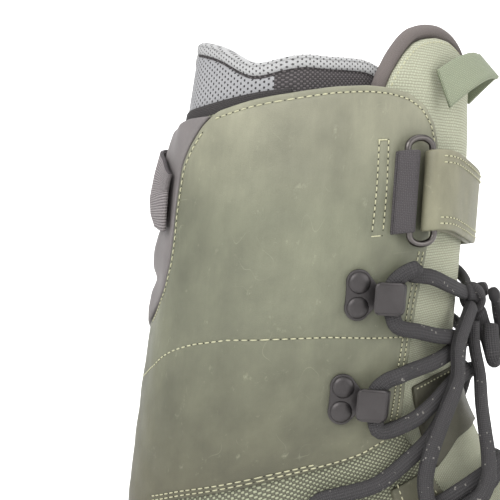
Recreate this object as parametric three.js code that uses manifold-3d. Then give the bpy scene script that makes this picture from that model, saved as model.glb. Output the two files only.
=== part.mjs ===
// Snowboard boot for the right foot, in millimetres.
// +X points to the toe, +Y to the inner side of the foot, +Z up.
// The origin lies on the floor under the middle of the heel.

import * as THREE from 'three';
import { mergeVertices } from 'three/addons/utils/BufferGeometryUtils.js';
import Module from 'manifold-3d';

const wasm = await Module();
wasm.setup();

// Driving sizes of the foot and shaft
const UPPER_LENGTH = 304;
const BALL_WIDTH = 114;
const TOE_HEIGHT = 92;
const ANKLE_HEIGHT = 150;
const SHAFT_HEIGHT = 314;
const SHAFT_DEPTH = 148;
const SHAFT_WIDTH = 118;
const HEEL_SETBACK = 44;

// Driving sizes of the sole
const SEAT_HEIGHT = 20;
const TOE_LIFT = 32;
const TREAD_DEPTH = 5;
const OUTSOLE_THICKNESS = 9;
const ARCH_RISE = 4;
const TOE_SPRING = 15;
const HEEL_BEVEL = 3;
const RIM_HEIGHT = 27;
const HEEL_RIM_RISE = 13;
const TOE_RIM_RISE = 20;
const SOLE_EDGE = 4;
const SIDE_STEP = 1.6;
const GROOVE_WIDTH = 7;
const RIB_WIDTH = 5;

// Thicknesses and clearances
const CLEARANCE = 0.3;
const UPPER_WALL = 2.4;
const LEATHER = 1.7;
const TONGUE_THICKNESS = 6;
const TONGUE_CROWN = 3.5;
const LINER_SHAFT_WALL = 8;
const LINER_FOOT_WALL = 5;
const FOOTBED_THICKNESS = 5;
const LASTING_MARGIN = 16;
const SEAM_GAP = 0.8;
const PIPING_RADIUS = 2.9;
const WEBBING = 1.8;
const STRAP_THICKNESS = 2;
const RING_WIRE = 1.25;
const RING_WIDTH = 13.9;
const RING_HEIGHT = 45.8;
const RING_END = 4;
const LACE_RADIUS = 2.4;

// Sizes of a lace hook: rivets at its rear, a cap that curls back over the lace
const HOOK_PLATE = 1.6;
const HOOK_CAP = 1.8;
const HOOK_CAP_WIDTH = 13.4;
const RIVET_RADIUS = 4.2;
const RIVET_HEIGHT = 1.5;
const RIVET_SPACING = 10.4;
const RIVET_TO_CAP = 13.3;

// Sections of the shaft, from the top of the tongue down to the ankle.
// frontRise, backRise: shares of the shaft's height above the ankle
// front, back: shares of the shaft's depth, from the back of the heel
// half: share of the shaft's width, belly: share of the depth from the front
// roundFront, roundBack: exponents of the outline, 2 is an ellipse
const SHAFT_TABLE = {
  columns: ['frontRise', 'backRise', 'front', 'back', 'half', 'belly', 'roundFront', 'roundBack'],
  rows: [
    [1.24, 1.24, 1.007, 0.215, 0.5, 0.47, 2.5, 2.3],
    [1.0, 1.0, 1.085, 0.165, 0.505, 0.47, 2.5, 2.3],
    [0.74, 0.68, 1.092, 0.115, 0.498, 0.47, 2.5, 2.3],
    [0.49, 0.37, 1.072, 0.074, 0.482, 0.47, 2.45, 2.3],
    [0.27, 0.06, 1.055, 0.036, 0.462, 0.47, 2.4, 2.3],
    [0.13, -0.195, 1.082, 0.006, 0.44, 0.48, 2.3, 2.3],
    [0.04, -0.427, 1.125, -0.01, 0.408, 0.49, 2.25, 2.3],
  ],
};

// Sections of the foot, fanned from the ankle to the root of the toe dome.
// topAlong, bottomAlong: shares of the upper's length, from the back of the heel
// topRise: share of the way from toe height to ankle height
// bottom: share of the seat's height above the floor
// lateral, medial, swing: shares of the ball's width, belly: share from the top
const FOOT_TABLE = {
  columns: ['topAlong', 'topRise', 'bottomAlong', 'bottom', 'lateral', 'medial', 'belly',
    'roundTop', 'roundBottom', 'swing'],
  rows: [
    [0.569, 0.9, 0.002, 2.2, 0.402, 0.398, 0.5, 2.2, 2.3, 0],
    [0.599, 0.73, 0.046, 1.1, 0.388, 0.378, 0.55, 2.15, 2.8, 0],
    [0.632, 0.58, 0.151, 0.99, 0.382, 0.36, 0.6, 2.1, 3.2, 0],
    [0.671, 0.43, 0.276, 0.89, 0.392, 0.36, 0.66, 2.1, 3.6, 0],
    [0.714, 0.29, 0.408, 0.84, 0.426, 0.395, 0.7, 2.1, 4.0, 0],
    [0.763, 0.16, 0.539, 0.8, 0.474, 0.452, 0.72, 2.15, 4.2, 0],
    [0.816, 0.06, 0.664, 0.8, 0.504, 0.487, 0.74, 2.2, 4.2, 0.005],
    [0.865, 0.0, 0.77, 0.89, 0.496, 0.482, 0.74, 2.3, 4.2, 0.015],
    [0.908, -0.05, 0.849, 1.05, 0.461, 0.461, 0.72, 2.4, 4.0, 0.03],
  ],
};
const TOE_ROUND = 2.4;
const TOE_CROWN = 0.8;

// Where the skins have a ring of points, counted in sections, and how many points
const RING_POINTS = 32;
const STATIONS = [0, 0.5, 1, 2, 3, 4, 5, 6, 7, 8, 9, 10, 11, 12, 13, 14, 15, 15.3, 15.6, 15.85];
const INSIDE_STATIONS = [0, 1, 2, 4, 6, 8, 10, 12, 14, 15, 15.6, 15.85];

function tableRecords(table, convert) {
  return table.rows.map((row) => {
    const record = {};
    table.columns.forEach((column, index) => {
      record[column] = row[index];
    });
    return convert ? convert(record) : record;
  });
}

const shaftSections = tableRecords(SHAFT_TABLE, (row) => {
  const shaftRise = SHAFT_HEIGHT - ANKLE_HEIGHT;
  return {
    frontX: row.front * SHAFT_DEPTH - HEEL_SETBACK,
    frontZ: ANKLE_HEIGHT + row.frontRise * shaftRise,
    backX: row.back * SHAFT_DEPTH - HEEL_SETBACK,
    backZ: ANKLE_HEIGHT + row.backRise * shaftRise,
    lateral: row.half * SHAFT_WIDTH,
    medial: row.half * SHAFT_WIDTH,
    belly: row.belly,
    roundFront: row.roundFront,
    roundBack: row.roundBack,
    swing: 0,
  };
});

const footSections = tableRecords(FOOT_TABLE, (row) => ({
  frontX: row.topAlong * UPPER_LENGTH - HEEL_SETBACK,
  frontZ: TOE_HEIGHT + row.topRise * (ANKLE_HEIGHT - TOE_HEIGHT),
  backX: row.bottomAlong * UPPER_LENGTH - HEEL_SETBACK,
  backZ: row.bottom * SEAT_HEIGHT,
  lateral: row.lateral * BALL_WIDTH,
  medial: row.medial * BALL_WIDTH,
  belly: row.belly,
  roundFront: row.roundTop,
  roundBack: row.roundBottom,
  swing: row.swing * BALL_WIDTH,
}));

const SECTIONS = [...shaftSections, ...footSections];
const DOME_START = SECTIONS.length - 1;
const DOME_END = DOME_START + 1;
const TOE_TIP = UPPER_LENGTH - HEEL_SETBACK;

// A smooth value between table records: through each record, with even tangents
function smoothBetween(records, key, position) {
  const last = records.length - 1;
  const index = Math.min(Math.max(Math.floor(position), 0), last - 1);
  const f = position - index;
  const here = records[index][key];
  const next = records[index + 1][key];
  const before = index > 0 ? records[index - 1][key] : here - (next - here);
  const after = index < last - 1 ? records[index + 2][key] : next + (next - here);
  const leave = (next - before) / 2;
  const arrive = (after - here) / 2;
  return (2 * f ** 3 - 3 * f ** 2 + 1) * here + (f ** 3 - 2 * f ** 2 + f) * leave
    + (3 * f ** 2 - 2 * f ** 3) * next + (f ** 3 - f ** 2) * arrive;
}

function sectionAt(station) {
  const section = {};
  Object.keys(SECTIONS[0]).forEach((key) => {
    section[key] = smoothBetween(SECTIONS, key, station);
  });
  return section;
}

function signedPower(value, exponent) {
  return Math.sign(value) * Math.abs(value) ** exponent;
}

// A point of the boot's form. Station counts the sections from the top of the
// tongue (0) to the toe's tip. Degrees are 0 on the front or top line, negative on
// the lateral side, and 180 on the back or bottom line. Grow is the distance outside.
function formPoint(station, degrees, grow = 0) {
  const s = sectionAt(Math.min(station, DOME_START));
  const span = new THREE.Vector2(s.frontX - s.backX, s.frontZ - s.backZ);
  const inner = span.length();
  const direction = span.clone().normalize();
  const front = new THREE.Vector2(s.frontX, s.frontZ).addScaledVector(direction, grow);
  const back = new THREE.Vector2(s.backX, s.backZ).addScaledVector(direction, -grow);
  const belly = (s.belly * inner + grow) / (inner + 2 * grow);
  let lateral = s.lateral + grow;
  let medial = s.medial + grow;
  if (station > DOME_START) {
    const reach = Math.sin((station - DOME_START) * Math.PI / 2);
    const shrink = Math.max(1 - reach ** TOE_ROUND, 0) ** (1 / TOE_ROUND);
    const tip = TOE_TIP + grow;
    const height = (front.y - back.y) * shrink ** TOE_CROWN;
    front.x += (tip - front.x) * reach;
    back.x += (tip - back.x) * reach;
    back.y += (TOE_LIFT - back.y) * reach ** 2;
    front.y = back.y + height;
    lateral *= shrink;
    medial *= shrink;
  }
  const angle = THREE.MathUtils.degToRad(degrees);
  const forward = Math.cos(angle);
  const sideways = Math.sin(angle);
  const exponent = 2 / (forward >= 0 ? s.roundFront : s.roundBack);
  const reachFront = forward >= 0 ? belly : 1 - belly;
  const middle = front.clone().lerp(back, belly);
  const along = signedPower(forward, exponent) * reachFront;
  const length = front.clone().sub(back);
  const half = sideways < 0 ? lateral : medial;
  return new THREE.Vector3(
    middle.x + length.x * along,
    signedPower(sideways, exponent) * half + s.swing,
    middle.y + length.y * along,
  );
}

// Solids from rings and from three.js geometry

function solidFromTriangles(points, triangles) {
  const volume = triangles.reduce((sum, [a, b, c]) => (
    sum + points[a].dot(points[b].clone().cross(points[c]))
  ), 0);
  const vertProperties = new Float32Array(points.flatMap((p) => [p.x, p.y, p.z]));
  const ordered = triangles.flatMap(([a, b, c]) => (volume > 0 ? [a, b, c] : [a, c, b]));
  const triVerts = new Uint32Array(ordered);
  return new wasm.Manifold(new wasm.Mesh({ numProp: 3, vertProperties, triVerts }));
}

// Joins rings of equally many points, with a fan over each end. An end that is a
// single point closes the solid there.
function solidFromRings(rings, startTip, endTip) {
  const count = rings[0].length;
  const points = rings.flat();
  const triangles = [];
  for (let ring = 0; ring + 1 < rings.length; ring += 1) {
    for (let index = 0; index < count; index += 1) {
      const next = (index + 1) % count;
      const a = ring * count + index;
      const b = ring * count + next;
      triangles.push([a, b, b + count], [a, b + count, a + count]);
    }
  }
  [[rings[0], 0, startTip], [rings.at(-1), (rings.length - 1) * count, endTip]].forEach(([ring, first, tip]) => {
    const centre = tip ?? ring.reduce((sum, p) => sum.add(p), new THREE.Vector3()).divideScalar(count);
    points.push(centre);
    for (let index = 0; index < count; index += 1) {
      const pair = [first + index, first + (index + 1) % count];
      triangles.push(first === 0 ? [pair[1], pair[0], points.length - 1] : [...pair, points.length - 1]);
    }
  });
  return solidFromTriangles(points, triangles);
}

// Joins rings into a closed loop
function solidFromLoop(rings) {
  const count = rings[0].length;
  const triangles = [];
  rings.forEach((ring, ringIndex) => {
    const start = ringIndex * count;
    const after = ((ringIndex + 1) % rings.length) * count;
    ring.forEach((point, index) => {
      const next = (index + 1) % count;
      triangles.push([start + index, start + next, after + next], [start + index, after + next, after + index]);
    });
  });
  return solidFromTriangles(rings.flat(), triangles);
}

function solidFromGeometry(geometry) {
  geometry.deleteAttribute('normal');
  geometry.deleteAttribute('uv');
  const merged = mergeVertices(geometry);
  return new wasm.Manifold(new wasm.Mesh({
    numProp: 3,
    vertProperties: new Float32Array(merged.attributes.position.array),
    triVerts: new Uint32Array(merged.index.array),
  }));
}

// The form grown by a distance, or by a function of station and degrees
function formSkin(grow, stations = STATIONS) {
  const growAt = typeof grow === 'function' ? grow : () => grow;
  const rings = stations.map((station) => {
    const ring = [];
    for (let index = 0; index < RING_POINTS; index += 1) {
      const degrees = -180 + 360 * index / RING_POINTS;
      ring.push(formPoint(station, degrees, growAt(station, degrees)));
    }
    return ring;
  });
  return solidFromRings(rings, undefined, formPoint(DOME_END, 0, growAt(DOME_END, 0)));
}

// A prism across the boot from a side view outline of x and z
const FAR = 400;
function sidePrism(outline, fromY = -FAR, toY = FAR) {
  const shape = new THREE.Shape(outline.map(([x, z]) => new THREE.Vector2(x, z)));
  const geometry = new THREE.ExtrudeGeometry(shape, { depth: toY - fromY, bevelEnabled: false });
  geometry.rotateX(Math.PI / 2);
  geometry.translate(0, toY, 0);
  return solidFromGeometry(geometry);
}

// An upright prism from a plan outline of x and y
function planPrism(outline, fromZ, toZ) {
  const shape = new THREE.Shape(outline.map(([x, y]) => new THREE.Vector2(x, y)));
  const geometry = new THREE.ExtrudeGeometry(shape, { depth: toZ - fromZ, bevelEnabled: false });
  geometry.translate(0, 0, fromZ);
  return solidFromGeometry(geometry);
}

// Side view of points given on the form: rows of station, degrees and how far outside
function sideView(rows) {
  return rows.map(([station, degrees, grow = 0]) => {
    const point = formPoint(station, degrees, grow);
    return [point.x, point.z];
  });
}

function shiftOutline(outline, dx, dz) {
  return outline.map(([x, z]) => [x + dx, z + dz]);
}

const boot = new THREE.Group();

function addPart(name, solid, color, roughness, metalness = 0) {
  const mesh = solid.getMesh();
  const geometry = new THREE.BufferGeometry();
  geometry.setAttribute('position', new THREE.BufferAttribute(new Float32Array(mesh.vertProperties), 3));
  geometry.setIndex(new THREE.BufferAttribute(new Uint32Array(mesh.triVerts), 1));
  geometry.computeVertexNormals();
  const material = new THREE.MeshStandardMaterial({ color, roughness, metalness, flatShading: true });
  const part = new THREE.Mesh(geometry, material);
  part.name = name;
  boot.add(part);
}

// Sole outline seen from above. along: share of the upper's length from the back of
// the heel, lateral, medial and swing: shares of the ball's width
const SOLE_TABLE = {
  columns: ['along', 'lateral', 'medial', 'swing'],
  rows: [
    [-0.1, 0.35, 0.35, 0],
    [0.11, 0.36, 0.36, 0],
    [0.24, 0.395, 0.371, 0],
    [0.375, 0.432, 0.4, 0],
    [0.505, 0.483, 0.455, 0],
    [0.64, 0.53, 0.515, 0],
    [0.75, 0.535, 0.535, 0.005],
    [0.83, 0.516, 0.516, 0.015],
    [1.1, 0.5, 0.5, 0.03],
  ],
};
const HEEL_ROUND_START = 0.13;
const TOE_ROUND_START = 0.8;
const HEEL_OUTLINE_ROUND = 2.3;
const TOE_OUTLINE_ROUND = 2.8;
const soleRows = tableRecords(SOLE_TABLE);
const SOLE_BACK = -HEEL_SETBACK - SOLE_EDGE;
const SOLE_TIP = TOE_TIP + SOLE_EDGE;

// Distances along the foot where the floor contact starts and ends
const HEEL_FLAT_BACK = 0.03 * UPPER_LENGTH - HEEL_SETBACK;
const ARCH_BACK = 0.29 * UPPER_LENGTH - HEEL_SETBACK;
const ARCH_FRONT = 0.49 * UPPER_LENGTH - HEEL_SETBACK;
const SPRING_START = 0.76 * UPPER_LENGTH - HEEL_SETBACK;

function smoothStep(value, from, to) {
  return THREE.MathUtils.smoothstep(value, from, to);
}

function soleRowAt(x, column) {
  const along = (x + HEEL_SETBACK) / UPPER_LENGTH;
  const upper = soleRows.findIndex((row) => row.along > along);
  const from = soleRows[upper - 1];
  const to = soleRows[upper];
  const share = (along - from.along) / (to.along - from.along);
  return THREE.MathUtils.lerp(from[column], to[column], share) * BALL_WIDTH;
}

// The sole's edge on one side, inset from its outline
const NARROWEST = 0.5;
function soleEdge(x, side, inset) {
  const heelStart = HEEL_ROUND_START * UPPER_LENGTH - HEEL_SETBACK;
  const toeStart = TOE_ROUND_START * UPPER_LENGTH - HEEL_SETBACK;
  const heel = Math.max(heelStart - x, 0) / (heelStart - SOLE_BACK);
  const toe = Math.max(x - toeStart, 0) / (SOLE_TIP - toeStart);
  const heelShare = Math.max(1 - heel ** HEEL_OUTLINE_ROUND, 0) ** (1 / HEEL_OUTLINE_ROUND);
  const toeShare = Math.max(1 - toe ** TOE_OUTLINE_ROUND, 0) ** (1 / TOE_OUTLINE_ROUND);
  const half = Math.max(soleRowAt(x, side) * heelShare * toeShare - inset, NARROWEST);
  return soleRowAt(x, 'swing') + (side === 'lateral' ? -half : half);
}

// Stations of the sole, closer together at both ends
const SOLE_STEPS = 22;
const soleStations = [];
for (let step = 0; step <= SOLE_STEPS; step += 1) {
  const share = (1 - Math.cos(Math.PI * (step + 0.35) / (SOLE_STEPS + 0.7))) / 2;
  soleStations.push(SOLE_BACK + share * (SOLE_TIP - SOLE_BACK));
}

function treadHeight(x) {
  const arch = smoothStep(x, ARCH_BACK - RIB_WIDTH, ARCH_BACK + RIB_WIDTH)
    * (1 - smoothStep(x, ARCH_FRONT - RIB_WIDTH, ARCH_FRONT + RIB_WIDTH));
  const spring = Math.max(x - SPRING_START, 0) / (SOLE_TIP - SPRING_START);
  const bevel = Math.max(HEEL_FLAT_BACK - x, 0) / (HEEL_FLAT_BACK - SOLE_BACK);
  return ARCH_RISE * arch + TOE_SPRING * spring ** 1.7 + HEEL_BEVEL * bevel ** 1.5;
}

function outsoleTop(x) {
  const spring = Math.max(x - SPRING_START, 0) / (SOLE_TIP - SPRING_START);
  return OUTSOLE_THICKNESS + TOE_SPRING * spring ** 1.7;
}

function rimHeight(x) {
  const along = (x + HEEL_SETBACK) / UPPER_LENGTH;
  return RIM_HEIGHT + HEEL_RIM_RISE * (1 - smoothStep(along, 0.05, 0.4))
    + TOE_RIM_RISE * smoothStep(along, 0.74, 1.0);
}

// A sole layer from a list of levels, each a height function and an inset from the outline
function soleLayer(levels) {
  const rings = soleStations.map((x) => {
    const point = (side, level) => new THREE.Vector3(x, soleEdge(x, side, level.inset), level.height(x));
    const left = levels.map((level) => point('lateral', level));
    const right = levels.map((level) => point('medial', level)).reverse();
    return [...left, ...right];
  });
  return solidFromRings(rings);
}

function makeOutsole() {
  let solid = soleLayer([
    { height: treadHeight, inset: SIDE_STEP },
    { height: (x) => treadHeight(x) + TREAD_DEPTH, inset: 0 },
    { height: (x) => outsoleTop(x), inset: 0 },
  ]);
  const slot = (x, turn, length, y) => {
    const box = new THREE.BoxGeometry(GROOVE_WIDTH, length, 2 * TREAD_DEPTH);
    box.rotateZ(turn);
    box.translate(x, y, treadHeight(x));
    return solidFromGeometry(box);
  };
  const chevron = 0.3;
  const arm = 0.42 * BALL_WIDTH;
  const armReach = 0.35 * BALL_WIDTH;
  const rows = [0.53, 0.595, 0.66, 0.725, 0.79, 0.855, 0.92].map((share) => [share, chevron]);
  const heelRows = [0.05, 0.12, 0.19, 0.26].map((share) => [share, -chevron]);
  [...rows, ...heelRows].forEach(([share, turn]) => {
    const x = share * UPPER_LENGTH - HEEL_SETBACK;
    solid = solid.subtract(slot(x, -turn, arm, -armReach));
    solid = solid.subtract(slot(x, turn, arm, armReach));
  });
  return solid;
}

function makeMidsole() {
  const bottom = (x) => outsoleTop(x) + CLEARANCE;
  const share = (part) => (x) => bottom(x) + part * (rimHeight(x) - bottom(x));
  const block = soleLayer([
    { height: bottom, inset: SIDE_STEP },
    { height: share(0.22), inset: SIDE_STEP },
    { height: share(0.32), inset: 0 },
    { height: share(0.62), inset: 0 },
    { height: share(0.7), inset: SIDE_STEP },
    { height: rimHeight, inset: SIDE_STEP },
  ]);
  return block.subtract(formSkin(CLEARANCE));
}

// The upper's top line from back to front, then its throat down to the vamp,
// in station and degrees on the form
const TOP_LINE = [
  [1.38, 180, 20], [1.38, 180], [1.38, -150], [1.36, -135], [1.33, -125], [1.28, -115], [1.25, -102],
  [1.2, -90], [1.18, -76], [1.19, -64], [1.21, -55], [1.26, -46], [1.36, -38], [1.53, -32], [1.75, -29],
];
const THROAT_EDGE = [
  [2.83, -32], [3.3, -35], [3.88, -37], [4.59, -41], [5.11, -44.5], [5.6, -41], [6.2, -38], [7, -36],
  [8, -33], [9, -30], [10, -27], [11, -23], [11.6, -18], [11.95, -11], [12.05, 0],
];

function keptBelowTopLine() {
  const low = -FAR;
  const throatEnd = formPoint(12.05, 0, FAR / 4);
  return [
    ...sideView(TOP_LINE),
    ...sideView(THROAT_EDGE),
    [throatEnd.x, throatEnd.z],
    [FAR, throatEnd.z],
    [FAR, low],
    [-FAR, low],
    [-FAR, sideView(TOP_LINE)[0][1]],
  ];
}

function solePlan(inset) {
  const xs = soleStations.filter((x) => x > SOLE_BACK + inset && x < SOLE_TIP - inset);
  const lateral = xs.map((x) => [x, soleEdge(x, 'lateral', inset)]);
  const medial = xs.map((x) => [x, soleEdge(x, 'medial', inset)]);
  return [...lateral, ...medial.reverse()];
}

function makeUpper() {
  const shell = formSkin(0).subtract(formSkin(-UPPER_WALL));
  const opening = planPrism(solePlan(LASTING_MARGIN), -SEAT_HEIGHT, 2 * SEAT_HEIGHT);
  return shell.intersect(sidePrism(keptBelowTopLine())).subtract(opening);
}

// Liner: close inside the upper, and behind the tongue where that covers it
const TONGUE_END = 12.6;
function linerGrow(station, degrees) {
  const behindTongue = 1 - smoothStep(Math.abs(degrees), 66, 100);
  const alongTongue = 1 - smoothStep(station, TONGUE_END - 0.3, TONGUE_END + 0.9);
  const recess = (TONGUE_THICKNESS + CLEARANCE) * behindTongue * alongTongue;
  return -UPPER_WALL - CLEARANCE - recess;
}

function linerWall(station) {
  return THREE.MathUtils.lerp(LINER_SHAFT_WALL, LINER_FOOT_WALL, smoothStep(station, 5, 12));
}

const LINER_TOP = [
  [0.9, 180, 30], [0.62, 180, 5], [0.42, 180, 0], [0.34, 180, -8], [0.33, 170, -8], [0.36, -140], [0.5, -122],
  [0.75, -108], [0.93, -98], [0.95, -90], [0.9, -86], [0.95, -80], [0.97, -70], [1.02, -60], [1.1, -50],
  [1.12, -30], [1.12, 0, 0], [1.12, 0, 40],
];

function belowOutline(outline) {
  return [...outline, [FAR, outline.at(-1)[1]], [FAR, -FAR], [-FAR, -FAR], [-FAR, outline[0][1]]];
}

function makeLiner() {
  const outer = formSkin(linerGrow);
  const inner = formSkin(
    (station, degrees) => linerGrow(station, degrees) - linerWall(station),
    INSIDE_STATIONS,
  );
  return outer.subtract(inner).intersect(sidePrism(belowOutline(sideView(LINER_TOP))));
}

function makeFootbed() {
  const inside = formSkin((station, degrees) => (
    linerGrow(station, degrees) - linerWall(station) - CLEARANCE
  ), INSIDE_STATIONS);
  const under = UPPER_WALL + 2 * CLEARANCE + FOOTBED_THICKNESS;
  const topOf = (station) => {
    const point = formPoint(station, 180, -under - linerWall(station));
    return [point.x, point.z];
  };
  const line = [7.4, 8, 9, 10, 11, 12, 13, 14, 15].map(topOf);
  const [, toeZ] = line.at(-1);
  const outline = [[-FAR, line[0][1]], ...line, [FAR, toeZ], [FAR, -FAR], [-FAR, -FAR]];
  return inside.intersect(sidePrism(outline));
}

// The tongue's sides below its rolled edge, in side view
const TONGUE_SIDE = [
  [0, -75], [1.2, -61], [2.4, -60], [4, -60], [6, -58], [8, -52], [10, -46], [11.4, -38], [12.2, -22], [12.5, 0],
];

// The middle of the tongue's rolled edge, higher on the lateral side
const TONGUE_RIM = [
  [1.75, -59], [1.45, -58.5], [1.2, -56.5], [1.0, -51.5], [0.82, -44], [0.65, -36], [0.53, -28], [0.48, -18],
  [0.53, -8], [0.64, 2], [0.78, 13], [0.94, 26], [1.1, 40], [1.3, 51], [1.5, 57], [1.75, 59],
];
const RIM_DEPTH = -UPPER_WALL - CLEARANCE - TONGUE_THICKNESS / 2 - 0.15;

function tongueGrow(station, degrees) {
  const between = 1 - smoothStep(Math.abs(degrees), 5, 22);
  const reach = smoothStep(station, 0.5, 1.2) * (1 - smoothStep(station, 8.5, 10.5));
  return -UPPER_WALL - CLEARANCE + TONGUE_CROWN * between * reach;
}

// Moves each point of an open outline sideways, to the right of its direction
function insetPath(points, distance) {
  return points.map((point, index) => {
    const before = points[Math.max(index - 1, 0)];
    const after = points[Math.min(index + 1, points.length - 1)];
    const along = new THREE.Vector2(after[0] - before[0], after[1] - before[1]).normalize();
    return [point[0] + along.y * distance, point[1] - along.x * distance];
  });
}

// A prism along the boot from a front view outline of y and z
function frontPrism(outline) {
  const shape = new THREE.Shape(outline.map(([y, z]) => new THREE.Vector2(y, z)));
  const geometry = new THREE.ExtrudeGeometry(shape, { depth: 2 * FAR, bevelEnabled: false });
  geometry.rotateX(Math.PI / 2);
  geometry.rotateZ(Math.PI / 2);
  geometry.translate(-FAR, 0, 0);
  return solidFromGeometry(geometry);
}

function makeTongue() {
  const outer = formSkin(tongueGrow);
  const inner = formSkin(-UPPER_WALL - CLEARANCE - TONGUE_THICKNESS);
  const edge = sideView(TONGUE_SIDE);
  const sides = sidePrism([...edge, [FAR, edge.at(-1)[1]], [FAR, edge[0][1]]]);
  const rim = TONGUE_RIM.map(([station, degrees]) => {
    const point = formPoint(station, degrees, RIM_DEPTH);
    return [point.y, point.z];
  });
  const arch = insetPath(rim, PIPING_RADIUS + SEAM_GAP);
  const shoulder = arch[0][1] - 1;
  const top = frontPrism([
    [-FAR, shoulder], [arch[0][0], shoulder], ...arch, [arch.at(-1)[0], shoulder], [FAR, shoulder],
    [FAR, -FAR], [-FAR, -FAR],
  ]);
  return outer.subtract(inner).intersect(sides).intersect(top);
}

// Tubes and bands

function pointsOnForm(rows) {
  return rows.map(([station, degrees, lift]) => formPoint(station, degrees, lift));
}

function tube(points, radius, stepLength = 5 * radius, sides = 8) {
  const section = [];
  for (let index = 0; index < sides; index += 1) {
    const angle = 2 * Math.PI * (index + 0.5) / sides;
    section.push(new THREE.Vector2(radius * Math.cos(angle), radius * Math.sin(angle)));
  }
  const path = new THREE.CatmullRomCurve3(points, false, 'centripetal');
  const steps = Math.max(Math.round(path.getLength() / stepLength), 2);
  const shape = new THREE.Shape(section);
  return solidFromGeometry(new THREE.ExtrudeGeometry(shape, { steps, bevelEnabled: false, extrudePath: path }));
}

// A flat band from pairs of edge points, with a thickness about its middle
function band(pairs, thickness) {
  const rings = pairs.map(([top, low], index) => {
    const before = pairs[Math.max(index - 1, 0)];
    const after = pairs[Math.min(index + 1, pairs.length - 1)];
    const along = after[0].clone().add(after[1]).sub(before[0]).sub(before[1]);
    const across = top.clone().sub(low);
    const half = along.cross(across).setLength(thickness / 2);
    return [
      top.clone().sub(half), top.clone().add(half), low.clone().add(half), low.clone().sub(half),
    ];
  });
  return solidFromRings(rings);
}

// Overlays, cut from between two skins of the form

const overlayShell = formSkin(CLEARANCE + LEATHER).subtract(formSkin(CLEARANCE));
const overlayKept = sidePrism(shiftOutline(keptBelowTopLine(), -SEAM_GAP, -SEAM_GAP));
const aboveRim = sidePrism([
  ...soleStations.map((x) => [x, rimHeight(x) + CLEARANCE]),
  [FAR, rimHeight(soleStations.at(-1)) + CLEARANCE],
  [FAR, FAR],
  [-FAR, FAR],
  [-FAR, rimHeight(soleStations[0]) + CLEARANCE],
]);

const LEATHER_TOP = [
  [1.37, -110], [1.3, -98], [1.25, -86], [1.225, -76], [1.22, -64], [1.24, -55], [1.29, -46], [1.39, -38.5],
  [1.55, -33], [1.75, -30],
];
const LEATHER_REAR = [
  [5.75, -168], [5, -171], [4.2, -173], [3.3, -172], [3.12, -150], [3.0, -139], [2.88, -132], [2.66, -128],
  [2.45, -127], [2.2, -127], [2.0, -126], [1.8, -125], [1.63, -121], [1.48, -116], [1.37, -110],
];
const LEATHER_BOTTOM = [
  [5.11, -44.5], [5.28, -52], [5.39, -60], [5.39, -68], [5.36, -77], [5.3, -92], [5.26, -102], [5.21, -114],
  [5.2, -130], [5.4, -148], [5.75, -168],
];
const SIDES = [
  { name: 'lateral', sign: -1 },
  { name: 'medial', sign: 1 },
];

function makeQuarters() {
  const top = sideView(LEATHER_TOP);
  const bottom = sideView(LEATHER_BOTTOM);
  const region = sidePrism([
    ...sideView(LEATHER_REAR), ...top, [FAR, top.at(-1)[1]], [FAR, bottom[0][1]], ...bottom,
  ]);
  const both = overlayShell.intersect(region).intersect(overlayKept);
  return SIDES.map(({ sign }) => {
    const half = sidePrism([[-FAR, -FAR], [FAR, -FAR], [FAR, FAR], [-FAR, FAR]], Math.min(0, sign * FAR),
      Math.max(0, sign * FAR));
    return both.intersect(half);
  });
}

// Padding up the back: how far its outside stands off the form
const PAD_TABLE = {
  columns: ['station', 'lift'],
  rows: [
    [0, 1.6], [1.35, 1.6], [1.5, 3.6], [1.65, 5], [1.85, 5.4], [2.05, 5.2], [2.15, 4], [2.24, 2.1], [2.34, 4],
    [2.5, 5.4], [2.66, 4.6], [2.77, 1.7], [2.88, 3.8], [3.05, 4.3], [3.25, 2.8], [3.5, 2], [16, 2],
  ],
};
const PAD_TOP = [[1.43, 180, 20], [1.43, 180], [1.43, -150], [1.42, -135], [1.4, -122]];
const HEEL_COUNTER_TOP = [
  [-0.1, 0.5], [0.02, 0.5], [0.08, 0.48], [0.14, 0.43], [0.2, 0.36], [0.26, 0.28], [0.31, 0.2], [0.33, 0.1],
];

function padGrow(station, degrees) {
  const rows = PAD_TABLE.rows;
  const next = rows.findIndex(([at]) => at > station);
  const [[fromAt, fromLift], [toAt, toLift]] = [rows[next - 1] ?? rows.at(-2), rows[next] ?? rows.at(-1)];
  const lift = THREE.MathUtils.mapLinear(Math.min(station, toAt), fromAt, toAt, fromLift, toLift);
  const level = CLEARANCE + LEATHER;
  const away = smoothStep(Math.abs(degrees), 128, 160);
  return level + (lift - level) * away;
}

function heelCounterOutline(shift) {
  return HEEL_COUNTER_TOP.map(([along, rise]) => [
    along * UPPER_LENGTH - HEEL_SETBACK + shift, rise * ANKLE_HEIGHT + shift,
  ]);
}

function makeBackStay() {
  const stations = [...PAD_TABLE.rows.map(([at]) => at).slice(0, -1), 4, 5, 6, 7, 8, 15];
  const outer = formSkin(padGrow, stations);
  const shell = outer.subtract(formSkin(CLEARANCE));
  const top = sideView(PAD_TOP);
  const rear = shiftOutline(sideView(LEATHER_REAR).reverse(), -SEAM_GAP, 0);
  const counterTop = heelCounterOutline(SEAM_GAP);
  const foot = sideView([[6.1, -160]])[0];
  const region = sidePrism([
    ...top, ...rear, foot, [foot[0], -FAR], [-FAR, -FAR], [-FAR, top[0][1]],
  ]);
  const aboveCounter = sidePrism([...counterTop, [FAR, counterTop.at(-1)[1]], [FAR, FAR], [-FAR, FAR]]);
  return shell.intersect(region).intersect(aboveCounter);
}

function makeHeelCounter() {
  const top = heelCounterOutline(0);
  const region = sidePrism([...top, [top.at(-1)[0], -FAR], [-FAR, -FAR]]);
  return overlayShell.intersect(region).intersect(aboveRim);
}

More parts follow.
